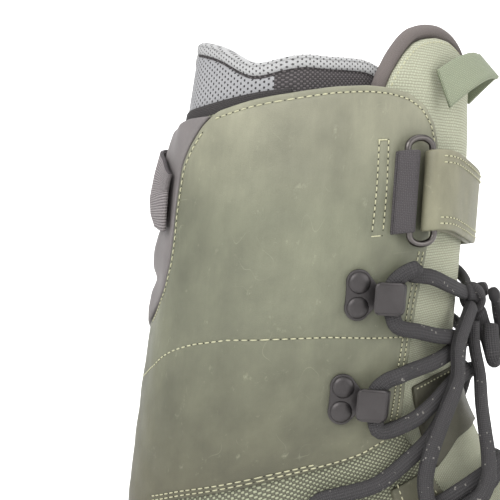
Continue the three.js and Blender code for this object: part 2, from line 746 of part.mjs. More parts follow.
const TOE_CAP_LINE = [[13.15, 0, 30], [13.15, 0], [13.2, -35], [13.35, -65], [13.6, -95], [13.75, -130]];

function makeToeCap() {
  const line = sideView(TOE_CAP_LINE);
  const region = sidePrism([...line, [line.at(-1)[0], -FAR], [FAR, -FAR], [FAR, line[0][1]]]);
  return overlayShell.intersect(region).intersect(aboveRim);
}

// The strip round the lower throat that carries the lace loops
const EYESTAY_OUTER = [
  [6.3, -38], [6.35, -54], [7, -53.5], [8, -51], [9, -48], [10, -44], [11, -38], [11.8, -30], [12.4, -19],
  [12.65, 0], [12.65, 0, 30],
];

function makeEyestay() {
  const outer = sideView(EYESTAY_OUTER);
  const region = sidePrism([...outer, [FAR, outer.at(-1)[1]], [FAR, outer[0][1]]]);
  return overlayShell.intersect(region).intersect(overlayKept);
}

// Leather patch on the tongue at the ankle bend
const PATCH_TOP = 4.32;
const PATCH_BOTTOM = 6.45;
const PATCH_EDGE = 33;

function makeTonguePatch() {
  const over = (distance) => formSkin((station, degrees) => tongueGrow(station, degrees) + distance);
  const rows = [4.32, 5, 5.6, 6.1, 6.45].map((station) => [station, -PATCH_EDGE]);
  const edge = sideView(rows);
  const [front, low] = sideView([[PATCH_TOP, 0, 20], [PATCH_BOTTOM, 0, 20]]);
  return over(CLEARANCE + 1.4).subtract(over(CLEARANCE)).intersect(sidePrism([...edge, low, front]));
}

// Webbing band that stands off the back pad
const BAND_SPREAD = 50;
function makeRearWebbing() {
  const rings = [];
  for (let turn = -BAND_SPREAD; turn <= BAND_SPREAD; turn += 10) {
    const degrees = turn < 0 ? -180 - turn : 180 - turn;
    const bulge = Math.cos(Math.PI / 2 * turn / BAND_SPREAD);
    const profile = [
      [THREE.MathUtils.lerp(1.85, 1.55, bulge), THREE.MathUtils.lerp(3.2, 6.7, bulge)],
      [2.0, THREE.MathUtils.lerp(4, 9, bulge)],
      [THREE.MathUtils.lerp(2.35, 2.25, bulge), THREE.MathUtils.lerp(4, 4.6, bulge)],
    ];
    const inner = profile.map(([station, lift]) => formPoint(station, degrees, lift));
    const outer = profile.map(([station, lift]) => formPoint(station, degrees, lift + WEBBING));
    rings.push([...inner, ...outer.reverse()]);
  }
  return solidFromRings(rings);
}

// Pull loop across the top of the tongue
const PULL_LOOP_WIDTH = 16;
const PULL_LOOP_REACH = 13;
const PULL_LOOP_RISE = 16;

function makePullLoop() {
  const foot = formPoint(1.22, -30, -2.3);
  const front = formPoint(1.0, 0, PULL_LOOP_REACH);
  const pairs = [];
  for (let turn = -75; turn <= 75; turn += 15) {
    const angle = THREE.MathUtils.degToRad(turn);
    const along = (Math.cos(angle) - Math.cos(THREE.MathUtils.degToRad(75))) / (1 - Math.cos(THREE.MathUtils.degToRad(75)));
    const x = THREE.MathUtils.lerp(foot.x, front.x, along);
    const y = -foot.y * Math.sin(angle) / Math.sin(THREE.MathUtils.degToRad(75));
    const z = foot.z + PULL_LOOP_RISE * along;
    const lean = along * PULL_LOOP_WIDTH / 4;
    pairs.push([
      new THREE.Vector3(x + lean, y, z + PULL_LOOP_WIDTH / 2),
      new THREE.Vector3(x - lean, y, z - PULL_LOOP_WIDTH / 2),
    ]);
  }
  return band(pairs, WEBBING);
}

// Power strap: from the medial quarter round the front, through the ring and back.
// degrees round the shaft and the lift of the strap's middle off the form
const STRAP_TOP = 1.82;
const STRAP_LOW = 2.6;
const STRAP_PATH = [
  [52, 3.6], [44, 3.7], [36, 3.7], [25, 3.7], [12, 3.6], [0, 3.6], [-12, 3.6], [-24, 3.6], [-33, 3.4], [-37, 3.4],
  [-39.6, 4.5], [-40.3, 6.3], [-39.6, 8.2], [-37, 9.6], [-33, 9.7], [-26, 8.5], [-18, 6.7], [-9, 6.2], [3, 6.1],
  [14, 6.1], [24, 6.1],
];
const RING_FRONT = { degrees: -36.4, lift: 6.25 };
const RING_REAR = { degrees: -47.6, lift: 5.4 };
const TAB_PATH = [
  [-52.5, 3], [-49, 3], [-46.6, 3], [-44.6, 3.6], [-44, 5.4], [-44.6, 7.1], [-46.6, 7.9], [-49, 7.9], [-51, 6.7],
  [-52.5, 5],
];
const TAB_THICKNESS = 1.3;

function bandRound(path, thickness) {
  const pairs = path.map(([degrees, lift]) => [
    formPoint(STRAP_TOP, degrees, lift), formPoint(STRAP_LOW, degrees, lift),
  ]);
  return band(pairs, thickness);
}

// The oval ring: two straight bars with half circles, closed on itself
function makeRing() {
  const ends = [RING_FRONT, RING_REAR].map(({ degrees, lift }) => [
    formPoint(STRAP_TOP, degrees, lift), formPoint(STRAP_LOW, degrees, lift),
  ]);
  const [front, rear] = ends.map(([top, low]) => top.clone().add(low).divideScalar(2));
  const centre = front.clone().add(rear).divideScalar(2);
  const across = front.clone().sub(rear).normalize();
  const rise = ends[0][0].clone().sub(ends[0][1]);
  const up = rise.addScaledVector(across, -rise.dot(across)).normalize();
  const normal = across.clone().cross(up);
  const radius = RING_WIDTH / 2 - RING_WIRE;
  const straight = RING_HEIGHT / 2 - RING_WIRE - RING_END;
  const rings = [];
  const bend = 5;
  [1, -1].forEach((end) => {
    for (let step = 0; step <= bend; step += 1) {
      const angle = Math.PI * step / bend + (end > 0 ? 0 : Math.PI);
      const outward = across.clone().multiplyScalar(Math.cos(angle)).addScaledVector(up, Math.sin(angle));
      const middle = centre.clone().addScaledVector(across, radius * Math.cos(angle))
        .addScaledVector(up, end * straight + RING_END * Math.sin(angle));
      const ring = [];
      for (let side = 0; side < 8; side += 1) {
        const turn = Math.PI * side / 4;
        ring.push(middle.clone().addScaledVector(outward, RING_WIRE * Math.cos(turn))
          .addScaledVector(normal, RING_WIRE * Math.sin(turn)));
      }
      rings.push(ring);
    }
  });
  return solidFromLoop(rings);
}

// Hooks and lace loops sit in frames on the form: x to the throat, y up, z outward

function frameOnForm(rear, front, lift) {
  const from = formPoint(...rear, lift);
  const to = formPoint(...front, lift);
  const middle = [(rear[0] + front[0]) / 2, (rear[1] + front[1]) / 2];
  const above = formPoint(middle[0] - 0.02, middle[1], lift);
  const below = formPoint(middle[0] + 0.02, middle[1], lift);
  const forward = to.clone().sub(from).normalize();
  const outward = forward.clone().cross(above.sub(below)).normalize();
  const away = Math.sign(middle[1]) * outward.y < 0 ? -1 : 1;
  outward.multiplyScalar(away);
  forward.addScaledVector(outward, -forward.dot(outward)).normalize();
  const up = outward.clone().cross(forward);
  const matrix = new THREE.Matrix4().makeBasis(forward, up, outward);
  matrix.setPosition(formPoint(...middle, lift));
  return matrix;
}

const LACE_BED = HOOK_PLATE + CLEARANCE + LACE_RADIUS;
const HOOK_GAP = 2 * (LACE_RADIUS + CLEARANCE);
const HOOKS = [
  { name: 'upper', rear: [3.155, 63.5], front: [3.22, 50], lift: CLEARANCE + LEATHER + CLEARANCE },
  { name: 'middle', rear: [4.31, 66], front: [4.46, 55], lift: CLEARANCE + LEATHER + CLEARANCE },
  { name: 'ankle', rear: [6.36, 88], front: [6.46, 76], lift: CLEARANCE },
];
const LOOPS = [
  { name: '1', rear: [8.5, 45], front: [8.5, 35], lift: CLEARANCE + LEATHER + SEAM_GAP },
  { name: '2', rear: [10.3, 38], front: [10.3, 26], lift: CLEARANCE + LEATHER + SEAM_GAP },
];

function frameOf(spot, sign) {
  const rear = [spot.rear[0], sign * spot.rear[1]];
  const front = [spot.front[0], sign * spot.front[1]];
  return frameOnForm(rear, front, spot.lift);
}

function makeHook() {
  const rivetX = -RIVET_TO_CAP / 2;
  const capX = RIVET_TO_CAP / 2;
  const lobe = RIVET_RADIUS + 1.3;
  const half = HOOK_CAP_WIDTH / 2;
  const capFront = capX + half;
  const plate = new THREE.Shape();
  plate.absarc(rivetX, RIVET_SPACING / 2, lobe, Math.PI * 0.35, Math.PI * 1.1, false);
  plate.absarc(rivetX, -RIVET_SPACING / 2, lobe, Math.PI * 0.9, Math.PI * 1.65, false);
  plate.lineTo(capX - half, -half * 0.75);
  plate.lineTo(capFront, -half * 0.75);
  plate.lineTo(capFront, half * 0.75);
  plate.lineTo(capX - half, half * 0.75);
  let solid = solidFromGeometry(new THREE.ExtrudeGeometry(plate, {
    depth: HOOK_PLATE, bevelEnabled: false, curveSegments: 4,
  }));
  const top = HOOK_PLATE + HOOK_GAP;
  const wall = 1.8;
  const profile = [
    [capFront - wall, 0], [capFront, 0], [capFront + 0.6, top / 2], [capFront, top + HOOK_CAP * 0.5],
    [capFront - 2, top + HOOK_CAP], [capX - half + 1.5, top + HOOK_CAP], [capX - half, top + HOOK_CAP * 0.5],
    [capX - half, top], [capFront - wall, top],
  ];
  const curl = new THREE.ExtrudeGeometry(new THREE.Shape(profile.map(([x, z]) => new THREE.Vector2(x, z))), {
    depth: HOOK_CAP_WIDTH, bevelEnabled: false,
  });
  curl.rotateX(Math.PI / 2);
  curl.translate(0, half, 0);
  solid = solid.add(solidFromGeometry(curl));
  SIDES.forEach(({ sign }) => {
    const dome = [[0, 0], [RIVET_RADIUS, 0], [RIVET_RADIUS * 0.62, 1.25], [0, RIVET_HEIGHT]];
    const rivet = new THREE.LatheGeometry(dome.map(([r, h]) => new THREE.Vector2(r, h)), 9);
    rivet.rotateX(Math.PI / 2);
    rivet.translate(rivetX, sign * RIVET_SPACING / 2, HOOK_PLATE - 0.1);
    solid = solid.add(solidFromGeometry(rivet));
  });
  return solid;
}

const LOOP_LENGTH = 9;
const LOOP_WIDTH = 13;
const LOOP_WALL = 1.3;

function makeLaceLoop() {
  const outerHalf = LOOP_WIDTH / 2;
  const innerHalf = outerHalf - 2 * LOOP_WALL;
  const top = LOOP_WALL + HOOK_GAP;
  const outer = [
    [-outerHalf, 0], [outerHalf, 0], [outerHalf, LOOP_WALL], [innerHalf + 1, top + LOOP_WALL],
    [-innerHalf - 1, top + LOOP_WALL], [-outerHalf, LOOP_WALL],
  ];
  const inner = [[-innerHalf, LOOP_WALL], [innerHalf, LOOP_WALL], [innerHalf, top], [-innerHalf, top]];
  const sleeve = sidePrism(outer, -LOOP_LENGTH / 2, LOOP_LENGTH / 2);
  return sleeve.subtract(sidePrism(inner, -LOOP_LENGTH, LOOP_LENGTH));
}

function solidInFrame(solid, matrix) {
  const mesh = solid.getMesh();
  const points = [];
  for (let index = 0; index < mesh.vertProperties.length; index += 3) {
    points.push(new THREE.Vector3(...mesh.vertProperties.slice(index, index + 3)).applyMatrix4(matrix));
  }
  const triangles = [];
  for (let index = 0; index < mesh.triVerts.length; index += 3) {
    triangles.push([...mesh.triVerts.slice(index, index + 3)]);
  }
  return solidFromTriangles(points, triangles);
}

// Laces. Places in a hook's or loop's own frame, and places on the form between them

const HOOK_REST = [[15.5, 12.6, 5.2], [10.6, 10, 4.6], [6.6, 5.6, LACE_BED], [5.6, 0, LACE_BED], [6.6, -5.6, LACE_BED]];
const HOOK_EXIT = [[7, -6.9, LACE_BED], [9.4, -11.4, LACE_BED]];
const LOOP_BED = LOOP_WALL + CLEARANCE + LACE_RADIUS;
const LOOP_REST = [[1.6, 9.5, LOOP_BED], [0, 4, LOOP_BED], [0, 0, LOOP_BED], [0, -5, LOOP_BED]];
const LOOP_EXIT = [[0.6, -7, LOOP_BED], [4, -10.5, LOOP_BED]];

function throughFrame(spot, sign, places) {
  const matrix = frameOf(spot, sign);
  return places.map(([forward, up, outward]) => (
    new THREE.Vector3(forward, -sign * up, outward).applyMatrix4(matrix)
  ));
}

function strand(start, sign, rows, end) {
  return tube([...start, ...pointsOnForm(rows.map(([station, degrees, lift]) => [station, sign * degrees, lift])),
    ...end], LACE_RADIUS);
}

const [HOOK_UPPER, HOOK_MIDDLE, HOOK_ANKLE] = HOOKS;
const [LOOP_ONE, LOOP_TWO] = LOOPS;
const LACE_TOP_ROWS = [[3.34, 5, 6.4], [3.22, 19, 5.4], [3.08, 33, 5.2], [3.02, 43, 5.2]];
const CROSSINGS = [
  {
    from: HOOK_UPPER,
    to: HOOK_MIDDLE,
    rows: [[3.66, 37, 5.2], [3.76, 27, 5.3], [3.86, 13, 5.4], [3.95, 0, 5.4], [4.05, -14, 5.4], [4.12, -27, 5.3],
      [4.15, -39, 5.2]],
  },
  {
    from: HOOK_MIDDLE,
    to: HOOK_ANKLE,
    rows: [[5.02, 43, 5.2], [4.86, 33, 5.6], [4.58, 18, 5.8], [4.52, 0, 5.8], [4.72, -17, 5.8], [5.02, -25, 5.6],
      [5.5, -36, 5.4], [5.84, -48, 5.2], [6.06, -59, 5]],
  },
  {
    from: HOOK_ANKLE,
    to: LOOP_ONE,
    rows: [[7.06, 62, 5], [7.2, 45, 5.2], [7.2, 28, 5.3], [7.28, 0, 5.4], [7.5, -20, 5.3]],
  },
  {
    from: LOOP_ONE,
    to: LOOP_TWO,
    rows: [[9.1, 22, 5.3], [9.2, 0, 5.4], [9.35, -16, 5.3]],
  },
];

function makeCrossing({ from, to, rows }) {
  const exit = LOOPS.includes(from) ? LOOP_EXIT : HOOK_EXIT;
  const rest = LOOPS.includes(to) ? LOOP_REST : HOOK_REST;
  const [first, second] = SIDES.map(({ sign }) => strand(
    throughFrame(from, sign, exit), sign, rows, throughFrame(to, -sign, rest),
  ));
  return first.add(second);
}

function makeLaceTop(sign) {
  return strand([], sign, LACE_TOP_ROWS, throughFrame(HOOK_UPPER, sign, HOOK_REST));
}

function makeLaceBar() {
  const exits = SIDES.map(({ sign }) => throughFrame(LOOP_TWO, sign, LOOP_EXIT));
  const rows = [[10.75, -12, 5], [10.78, 0, 5], [10.75, 12, 5]];
  return tube([...exits[0], ...pointsOnForm(rows), ...exits[1].reverse()], LACE_RADIUS);
}

// Knot and free lengths of lace
const KNOT = { station: 3.4, degrees: 0, lift: 9.2, halfWidth: 9, halfHeight: 7.5, halfDepth: 7.4 };
const BOW_LONG = [
  [3.52, -4.7, 10.4], [3.7, -11, 10.3], [4, -17.5, 10.4], [4.5, -21, 10.9], [4.93, -29, 10.9], [5.38, -36, 10.7],
  [5.9, -42, 10.4], [6.5, -46, 10], [7.1, -47, 10.6], [7.6, -43, 10.8], [7.7, -35, 11.4], [7.35, -27, 12],
  [6.7, -20, 11.6], [5.98, -16, 12], [5.23, -10, 12.5], [4.6, -4, 13], [4.1, -3, 12.2], [3.72, -3, 11.4],
];
const BOW_SHORT = [[3.6, 3.2, 11.4], [3.65, 5, 12.4], [3.8, 10, 14], [4.1, 9, 17], [4.45, 4, 18.5], [4.35, -1, 19.5], [4.05, 0, 19], [3.85, 2, 18]];
const END_LATERAL = [[3.43, 2.4, 18.2], [3.47, 5, 19], [3.8, 12, 22], [4.2, 11.5, 24.5], [4.6, 11, 25.5], [5.05, 10.5, 25]];
const END_MEDIAL = [[3.36, 5, 12.2], [3.36, 11, 13], [3.4, 18, 11], [3.7, 26, 11], [4.2, 32, 11], [4.9, 36, 11], [5.6, 40, 11], [6.3, 44, 11.5]];
const AGLET_LENGTH = 18;

function makeKnot() {
  const geometry = new THREE.SphereGeometry(1, 10, 6);
  geometry.scale(KNOT.halfDepth, KNOT.halfWidth, KNOT.halfHeight);
  const centre = formPoint(KNOT.station, KNOT.degrees, KNOT.lift);
  geometry.translate(centre.x, centre.y, centre.z);
  return solidFromGeometry(geometry);
}

// A lace end's own aglet goes on in the same direction
function makeAglet(rows) {
  const [before, last] = pointsOnForm(rows.slice(-2));
  const along = last.clone().sub(before).normalize();
  return tube([
    last.clone().addScaledVector(along, CLEARANCE),
    last.clone().addScaledVector(along, AGLET_LENGTH / 2),
    last.clone().addScaledVector(along, AGLET_LENGTH),
  ], LACE_RADIUS * 0.75, AGLET_LENGTH);
}

addPart('outsole', makeOutsole(), '#3b3838', 0.85);
addPart('midsole', makeMidsole(), '#4a4645', 0.8);
addPart('upper', makeUpper(), '#8f9578', 0.85);
addPart('liner', makeLiner(), '#9b9b9b', 0.9);
addPart('footbed', makeFootbed(), '#5d5a58', 0.9);
addPart('tongue', makeTongue(), '#b4b89c', 0.85);
const quarters = makeQuarters();
SIDES.forEach(({ name }, index) => addPart(`quarter_${name}`, quarters[index], '#87876f', 0.75));
addPart('back_stay', makeBackStay(), '#7a7671', 0.7);
addPart('rear_webbing', makeRearWebbing(), '#837d7d', 0.9);
addPart('heel_counter', makeHeelCounter(), '#87876f', 0.75);
addPart('toe_cap', makeToeCap(), '#87876f', 0.75);
addPart('eyestay', makeEyestay(), '#87876f', 0.75);
addPart('tongue_piping', tube(pointsOnForm(TONGUE_RIM.map((row) => [...row, RIM_DEPTH])), PIPING_RADIUS), '#756d69', 0.9);
addPart('tongue_patch', makeTonguePatch(), '#6e6c57', 0.75);
addPart('tongue_pull_loop', makePullLoop(), '#a2ab91', 0.9);
addPart('strap', bandRound(STRAP_PATH, STRAP_THICKNESS), '#9d9b83', 0.75);
addPart('strap_ring', makeRing(), '#6c6968', 0.35, 0.9);
addPart('ring_tab', bandRound(TAB_PATH, TAB_THICKNESS), '#5e595c', 0.9);
CROSSINGS.forEach((crossing, index) => {
  addPart(`lace_cross_${index + 1}`, makeCrossing(crossing), '#514c4d', 0.9);
});
addPart('lace_bar', makeLaceBar(), '#514c4d', 0.9);
addPart('lace_knot', makeKnot(), '#514c4d', 0.9);
addPart('lace_bow_long', tube(pointsOnForm(BOW_LONG), LACE_RADIUS, 14), '#514c4d', 0.9);
addPart('lace_bow_short', tube(pointsOnForm(BOW_SHORT), LACE_RADIUS, 8), '#514c4d', 0.9);
addPart('lace_end_lateral', tube(pointsOnForm(END_LATERAL), LACE_RADIUS), '#514c4d', 0.9);
addPart('lace_end_medial', tube(pointsOnForm(END_MEDIAL), LACE_RADIUS), '#514c4d', 0.9);
addPart('aglet_lateral', makeAglet(END_LATERAL), '#b9a8a6', 0.3);
addPart('aglet_medial', makeAglet(END_MEDIAL), '#b9a8a6', 0.3);
const hook = makeHook();
const laceLoop = makeLaceLoop();
SIDES.forEach(({ name, sign }) => {
  addPart(`lace_top_${name}`, makeLaceTop(sign), '#514c4d', 0.9);
  HOOKS.forEach((spot) => {
    addPart(`hook_${spot.name}_${name}`, solidInFrame(hook, frameOf(spot, sign)), '#504f4d', 0.5, 0.6);
  });
  LOOPS.forEach((spot) => {
    addPart(`lace_loop_${spot.name}_${name}`, solidInFrame(laceLoop, frameOf(spot, sign)), '#5e595c', 0.9);
  });
});

export default boot;
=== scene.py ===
import math

import bpy
import numpy as np
from mathutils import Matrix, Vector
from mathutils.geometry import delaunay_2d_cdt


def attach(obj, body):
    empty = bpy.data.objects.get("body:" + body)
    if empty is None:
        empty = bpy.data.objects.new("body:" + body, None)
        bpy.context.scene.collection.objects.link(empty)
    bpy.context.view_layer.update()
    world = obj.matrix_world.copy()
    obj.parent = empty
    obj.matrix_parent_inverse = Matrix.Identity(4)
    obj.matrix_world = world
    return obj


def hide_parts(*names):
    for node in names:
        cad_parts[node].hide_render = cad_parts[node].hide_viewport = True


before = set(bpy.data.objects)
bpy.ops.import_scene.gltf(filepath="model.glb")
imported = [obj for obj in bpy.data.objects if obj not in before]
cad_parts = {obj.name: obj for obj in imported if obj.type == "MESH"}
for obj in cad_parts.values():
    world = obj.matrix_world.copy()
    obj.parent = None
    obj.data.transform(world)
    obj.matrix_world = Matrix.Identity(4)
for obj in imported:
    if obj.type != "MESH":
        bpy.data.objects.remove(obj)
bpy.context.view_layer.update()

MM = 0.001

# Thickness of the leather and lift of its thread over the form, in mm
LEATHER_THICK, THREAD_LIFT = 2.0, 1.95

# How long one station and one degree are, in mm, where a piece lies
SHAFT_SCALE = (41.0, 1.05)
UPPER_SCALE = (22, 1.05)
TONGUE_SCALE = (30, 1.05)
TOE_SCALE = (18, 1.0)
EYE_SCALE = (16, 1.0)
HEEL_SCALE = (36, 0.9)

# Camera: outer side of the boot, as in the photograph
AZIMUTH = math.radians(20)
ELEVATION = math.radians(1.5)
TARGET = Vector((0.016, 0.0, 0.236))
DISTANCE = 0.45
camera_data = bpy.data.cameras.new("camera")
camera_data.lens = 66.4
camera_data.sensor_width = 36
camera_data.clip_start = 0.01
camera = bpy.data.objects.new("camera", camera_data)
away = Vector((math.sin(AZIMUTH) * math.cos(ELEVATION), -math.cos(AZIMUTH) * math.cos(ELEVATION),
               math.sin(ELEVATION)))
camera.location = TARGET + DISTANCE * away
camera.rotation_euler = (-away).to_track_quat("-Z", "Y").to_euler()
bpy.context.collection.objects.link(camera)
bpy.context.scene.camera = camera

# The boot's form, with the same sizes and tables as the CAD source, in mm
LENGTH, BALL, TOE_H, ANKLE_H = 304, 114, 92, 150
SHAFT_H, SHAFT_D, SHAFT_W, SETBACK = 314, 148, 118, 44
SEAT_H, TOE_LIFT = 20, 32
# Shaft, from the top: height of front and of back over the ankle, front and back of the section in shaft
# depths, half width in shaft widths, belly, power in front and behind
SHAFT = [
    [1.24, 1.24, 1.007, 0.215, 0.5, 0.47, 2.5, 2.3],
    [1.0, 1.0, 1.085, 0.165, 0.505, 0.47, 2.5, 2.3],
    [0.74, 0.68, 1.092, 0.115, 0.498, 0.47, 2.5, 2.3],
    [0.49, 0.37, 1.072, 0.074, 0.482, 0.47, 2.45, 2.3],
    [0.27, 0.06, 1.055, 0.036, 0.462, 0.47, 2.4, 2.3],
    [0.13, -0.195, 1.082, 0.006, 0.44, 0.48, 2.3, 2.3],
    [0.04, -0.427, 1.125, -0.01, 0.408, 0.49, 2.25, 2.3],
]
# Foot, from the ankle to the toe: front and its height, back and its height, half width lateral and
# medial in ball widths, belly, power in front and behind, shift sideways
FOOT = [
    [0.569, 0.9, 0.002, 2.2, 0.402, 0.398, 0.5, 2.2, 2.3, 0],
    [0.599, 0.73, 0.046, 1.1, 0.388, 0.378, 0.55, 2.15, 2.8, 0],
    [0.632, 0.58, 0.151, 0.99, 0.382, 0.36, 0.6, 2.1, 3.2, 0],
    [0.671, 0.43, 0.276, 0.89, 0.392, 0.36, 0.66, 2.1, 3.6, 0],
    [0.714, 0.29, 0.408, 0.84, 0.426, 0.395, 0.7, 2.1, 4.0, 0],
    [0.763, 0.16, 0.539, 0.8, 0.474, 0.452, 0.72, 2.15, 4.2, 0],
    [0.816, 0.06, 0.664, 0.8, 0.504, 0.487, 0.74, 2.2, 4.2, 0.005],
    [0.865, 0.0, 0.77, 0.89, 0.496, 0.482, 0.74, 2.3, 4.2, 0.015],
    [0.908, -0.05, 0.849, 1.05, 0.461, 0.461, 0.72, 2.4, 4.0, 0.03],
]
rows = []
for r in SHAFT:
    rise = SHAFT_H - ANKLE_H
    rows.append([r[2] * SHAFT_D - SETBACK, ANKLE_H + r[0] * rise, r[3] * SHAFT_D - SETBACK, ANKLE_H + r[1] * rise,
                 r[4] * SHAFT_W, r[4] * SHAFT_W, r[5], r[6], r[7], 0])
for r in FOOT:
    rows.append([r[0] * LENGTH - SETBACK, TOE_H + r[1] * (ANKLE_H - TOE_H), r[2] * LENGTH - SETBACK,
                 r[3] * SEAT_H, r[4] * BALL, r[5] * BALL, r[6], r[7], r[8], r[9] * BALL])
SECTIONS = np.array(rows, float)
LAST = len(SECTIONS) - 1
TIP = LENGTH - SETBACK

# Station and mm that the back is drawn in
DRAW_IN = [[0, 9.5], [1, 9], [1.4, 8.4], [2, 7.4], [2.5, 7.4], [3, 6.2], [3.5, 4.4], [4, 3], [5, 1.3], [6, 0.4], [7, 0]]


def smooth_step(x, a, b):
    f = np.clip((np.asarray(x, float) - a) / (b - a), 0, 1)
    return f * f * (3 - 2 * f)


def draw_in(t, deg):
    """How far the back of the shaft goes forward from the form, in mm, as the photograph shows it."""
    table = np.array(DRAW_IN)
    turn = np.abs((np.asarray(deg, float) + 180) % 360 - 180)
    return np.interp(t, table[:, 0], table[:, 1]) * smooth_step(turn, 122, 150)


def form(t, deg, grow=0.0):
    """Points of the form in mm. t, deg and grow are arrays or numbers."""
    t, deg, grow = np.broadcast_arrays(np.asarray(t, float), np.asarray(deg, float), np.asarray(grow, float))
    tc = np.minimum(t, LAST)
    i = np.clip(np.floor(tc).astype(int), 0, LAST - 1)
    f = (tc - i)[..., None]
    here, nxt = SECTIONS[i], SECTIONS[i + 1]
    before = np.where((i > 0)[..., None], SECTIONS[np.maximum(i - 1, 0)], 2 * here - nxt)
    after = np.where((i < LAST - 1)[..., None], SECTIONS[np.minimum(i + 2, LAST)], 2 * nxt - here)
    leave, arrive = (nxt - before) / 2, (after - here) / 2
    s = ((2 * f**3 - 3 * f**2 + 1) * here + (f**3 - 2 * f**2 + f) * leave
         + (3 * f**2 - 2 * f**3) * nxt + (f**3 - f**2) * arrive)
    fx, fz, bx, bz, lat, med, belly, rf, rb, swing = np.moveaxis(s, -1, 0)
    dx, dz = fx - bx, fz - bz
    inner = np.hypot(dx, dz)
    ux, uz = dx / inner, dz / inner
    fx, fz, bx, bz = fx + ux * grow, fz + uz * grow, bx - ux * grow, bz - uz * grow
    belly = (belly * inner + grow) / (inner + 2 * grow)
    lat, med = lat + grow, med + grow
    dome = t > LAST
    reach = np.where(dome, np.sin(np.clip(t - LAST, 0, 1) * math.pi / 2), 0)
    shrink = np.maximum(1 - reach**2.4, 0) ** (1 / 2.4)
    height = (fz - bz) * shrink**0.8
    fx = fx + (TIP + grow - fx) * reach
    bx = bx + (TIP + grow - bx) * reach
    bz = np.where(dome, bz + (TOE_LIFT - bz) * reach**2, bz)
    fz = np.where(dome, bz + height, fz)
    lat, med = lat * shrink, med * shrink
    a = np.radians(deg)
    c, sn = np.cos(a), np.sin(a)
    ex = 2 / np.where(c >= 0, rf, rb)
    side = np.where(c >= 0, belly, 1 - belly)
    mx, mz = fx + (bx - fx) * belly, fz + (bz - fz) * belly
    along = np.sign(c) * np.abs(c) ** ex * side
    half = np.where(sn < 0, lat, med)
    return np.stack([mx + (fx - bx) * along + draw_in(t, deg), np.sign(sn) * np.abs(sn) ** ex * half + swing,
                     mz + (fz - bz) * along], -1)


def outward(t, deg):
    n = form(t, deg, 4.0) - form(t, deg, 0.0)
    return n / np.linalg.norm(n, axis=-1, keepdims=True)


# Node helpers for the materials

class Nodes:
    """A material whose nodes are added one by one."""

    def __init__(self, name, base, roughness, metallic=0.0):
        self.material = bpy.data.materials.new(name)
        self.material.use_nodes = True
        self.tree = self.material.node_tree
        self.shader = self.tree.nodes["Principled BSDF"]
        self.shader.inputs["Base Color"].default_value = (*base, 1)
        self.shader.inputs["Roughness"].default_value = roughness
        self.shader.inputs["Metallic"].default_value = metallic

    def add(self, kind, **values):
        node = self.tree.nodes.new(kind)
        for key, value in values.items():
            if hasattr(node, key):
                setattr(node, key, value)
            else:
                node.inputs[key.replace("_", " ")].default_value = value
        return node

    def link(self, a, b):
        self.tree.links.new(a, b)

    def math(self, operation, a, b=None, c=None):
        node = self.add("ShaderNodeMath", operation=operation)
        for socket, value in zip(node.inputs, (a, b, c)):
            if value is None:
                continue
            if isinstance(value, (int, float)):
                socket.default_value = value
            else:
                self.link(value, socket)
        return node.outputs[0]

    def coordinates(self, kind="UV", scale=(1, 1, 1)):
        source = self.add("ShaderNodeTexCoord").outputs[kind]
        mapping = self.add("ShaderNodeMapping")
        mapping.inputs["Scale"].default_value = scale
        self.link(source, mapping.inputs["Vector"])
        return mapping.outputs[0]

    def uv_axes(self):
        """The UV map, which is in mm, and its two axes."""
        uv = self.coordinates()
        split = self.add("ShaderNodeSeparateXYZ")
        self.link(uv, split.inputs[0])
        return uv, split.outputs[0], split.outputs[1]

    def noise(self, vector, scale, detail=3.0, roughness=0.55):
        node = self.add("ShaderNodeTexNoise")
        node.inputs["Scale"].default_value = scale
        node.inputs["Detail"].default_value = detail
        node.inputs["Roughness"].default_value = roughness
        self.link(vector, node.inputs["Vector"])
        return node.outputs["Fac"]

    def ramp(self, fac, stops):
        node = self.add("ShaderNodeValToRGB")
        elements = node.color_ramp.elements
        while len(elements) < len(stops):
            elements.new(0.5)
        for element, (position, colour) in zip(elements, stops):
            element.position = position
            element.color = (*colour, 1)
        self.link(fac, node.inputs["Fac"])
        return node.outputs["Color"]

    def threshold(self, fac, low, high):
        """Black below low and white above high."""
        return self.ramp(fac, [(low, (0, 0, 0)), (high, (1, 1, 1))])

    def mix(self, fac, a, b):
        node = self.add("ShaderNodeMix", data_type="RGBA")
        for socket, value in ((node.inputs[0], fac), (node.inputs[6], a), (node.inputs[7], b)):
            if isinstance(value, (int, float)):
                socket.default_value = value
            elif isinstance(value, tuple):
                socket.default_value = (*value, 1)
            else:
                self.link(value, socket)
        return node.outputs[2]

    def multiply(self, colour, fac, strength):
        """A colour darkened by fac, at most by strength."""
        low = self.math("MULTIPLY_ADD", fac, strength, 1 - strength)
        combine = self.add("ShaderNodeCombineXYZ")
        for socket in combine.inputs:
            self.link(low, socket)
        node = self.add("ShaderNodeVectorMath", operation="MULTIPLY")
        self.link(colour, node.inputs[0])
        self.link(combine.outputs[0], node.inputs[1])
        return node.outputs[0]

    def colour(self, socket):
        self.link(socket, self.shader.inputs["Base Color"])

    def rough(self, socket):
        self.link(socket, self.shader.inputs["Roughness"])

    def bump(self, height, distance, previous=None):
        node = self.add("ShaderNodeBump")
        node.inputs["Strength"].default_value = 1.0
        node.inputs["Distance"].default_value = distance
        self.link(height, node.inputs["Height"])
        if previous is not None:
            self.link(previous, node.inputs["Normal"])
        return node.outputs[0]

    def normal(self, socket):
        self.link(socket, self.shader.inputs["Normal"])
        return self.material

    def wave(self, value, period):
        """A sine of a value in mm, with its period in mm."""
        return self.math("SINE", self.math("MULTIPLY", value, 2 * math.pi / period))


def linear(r, g, b):
    """A colour from 0 to 255 as the shader wants it."""
    return tuple(((c / 255 + 0.055) / 1.055) ** 2.4 if c > 10 else c / 255 / 12.92 for c in (r, g, b))


def times(colour, factor):
    return tuple(min(c * factor, 1) for c in colour)


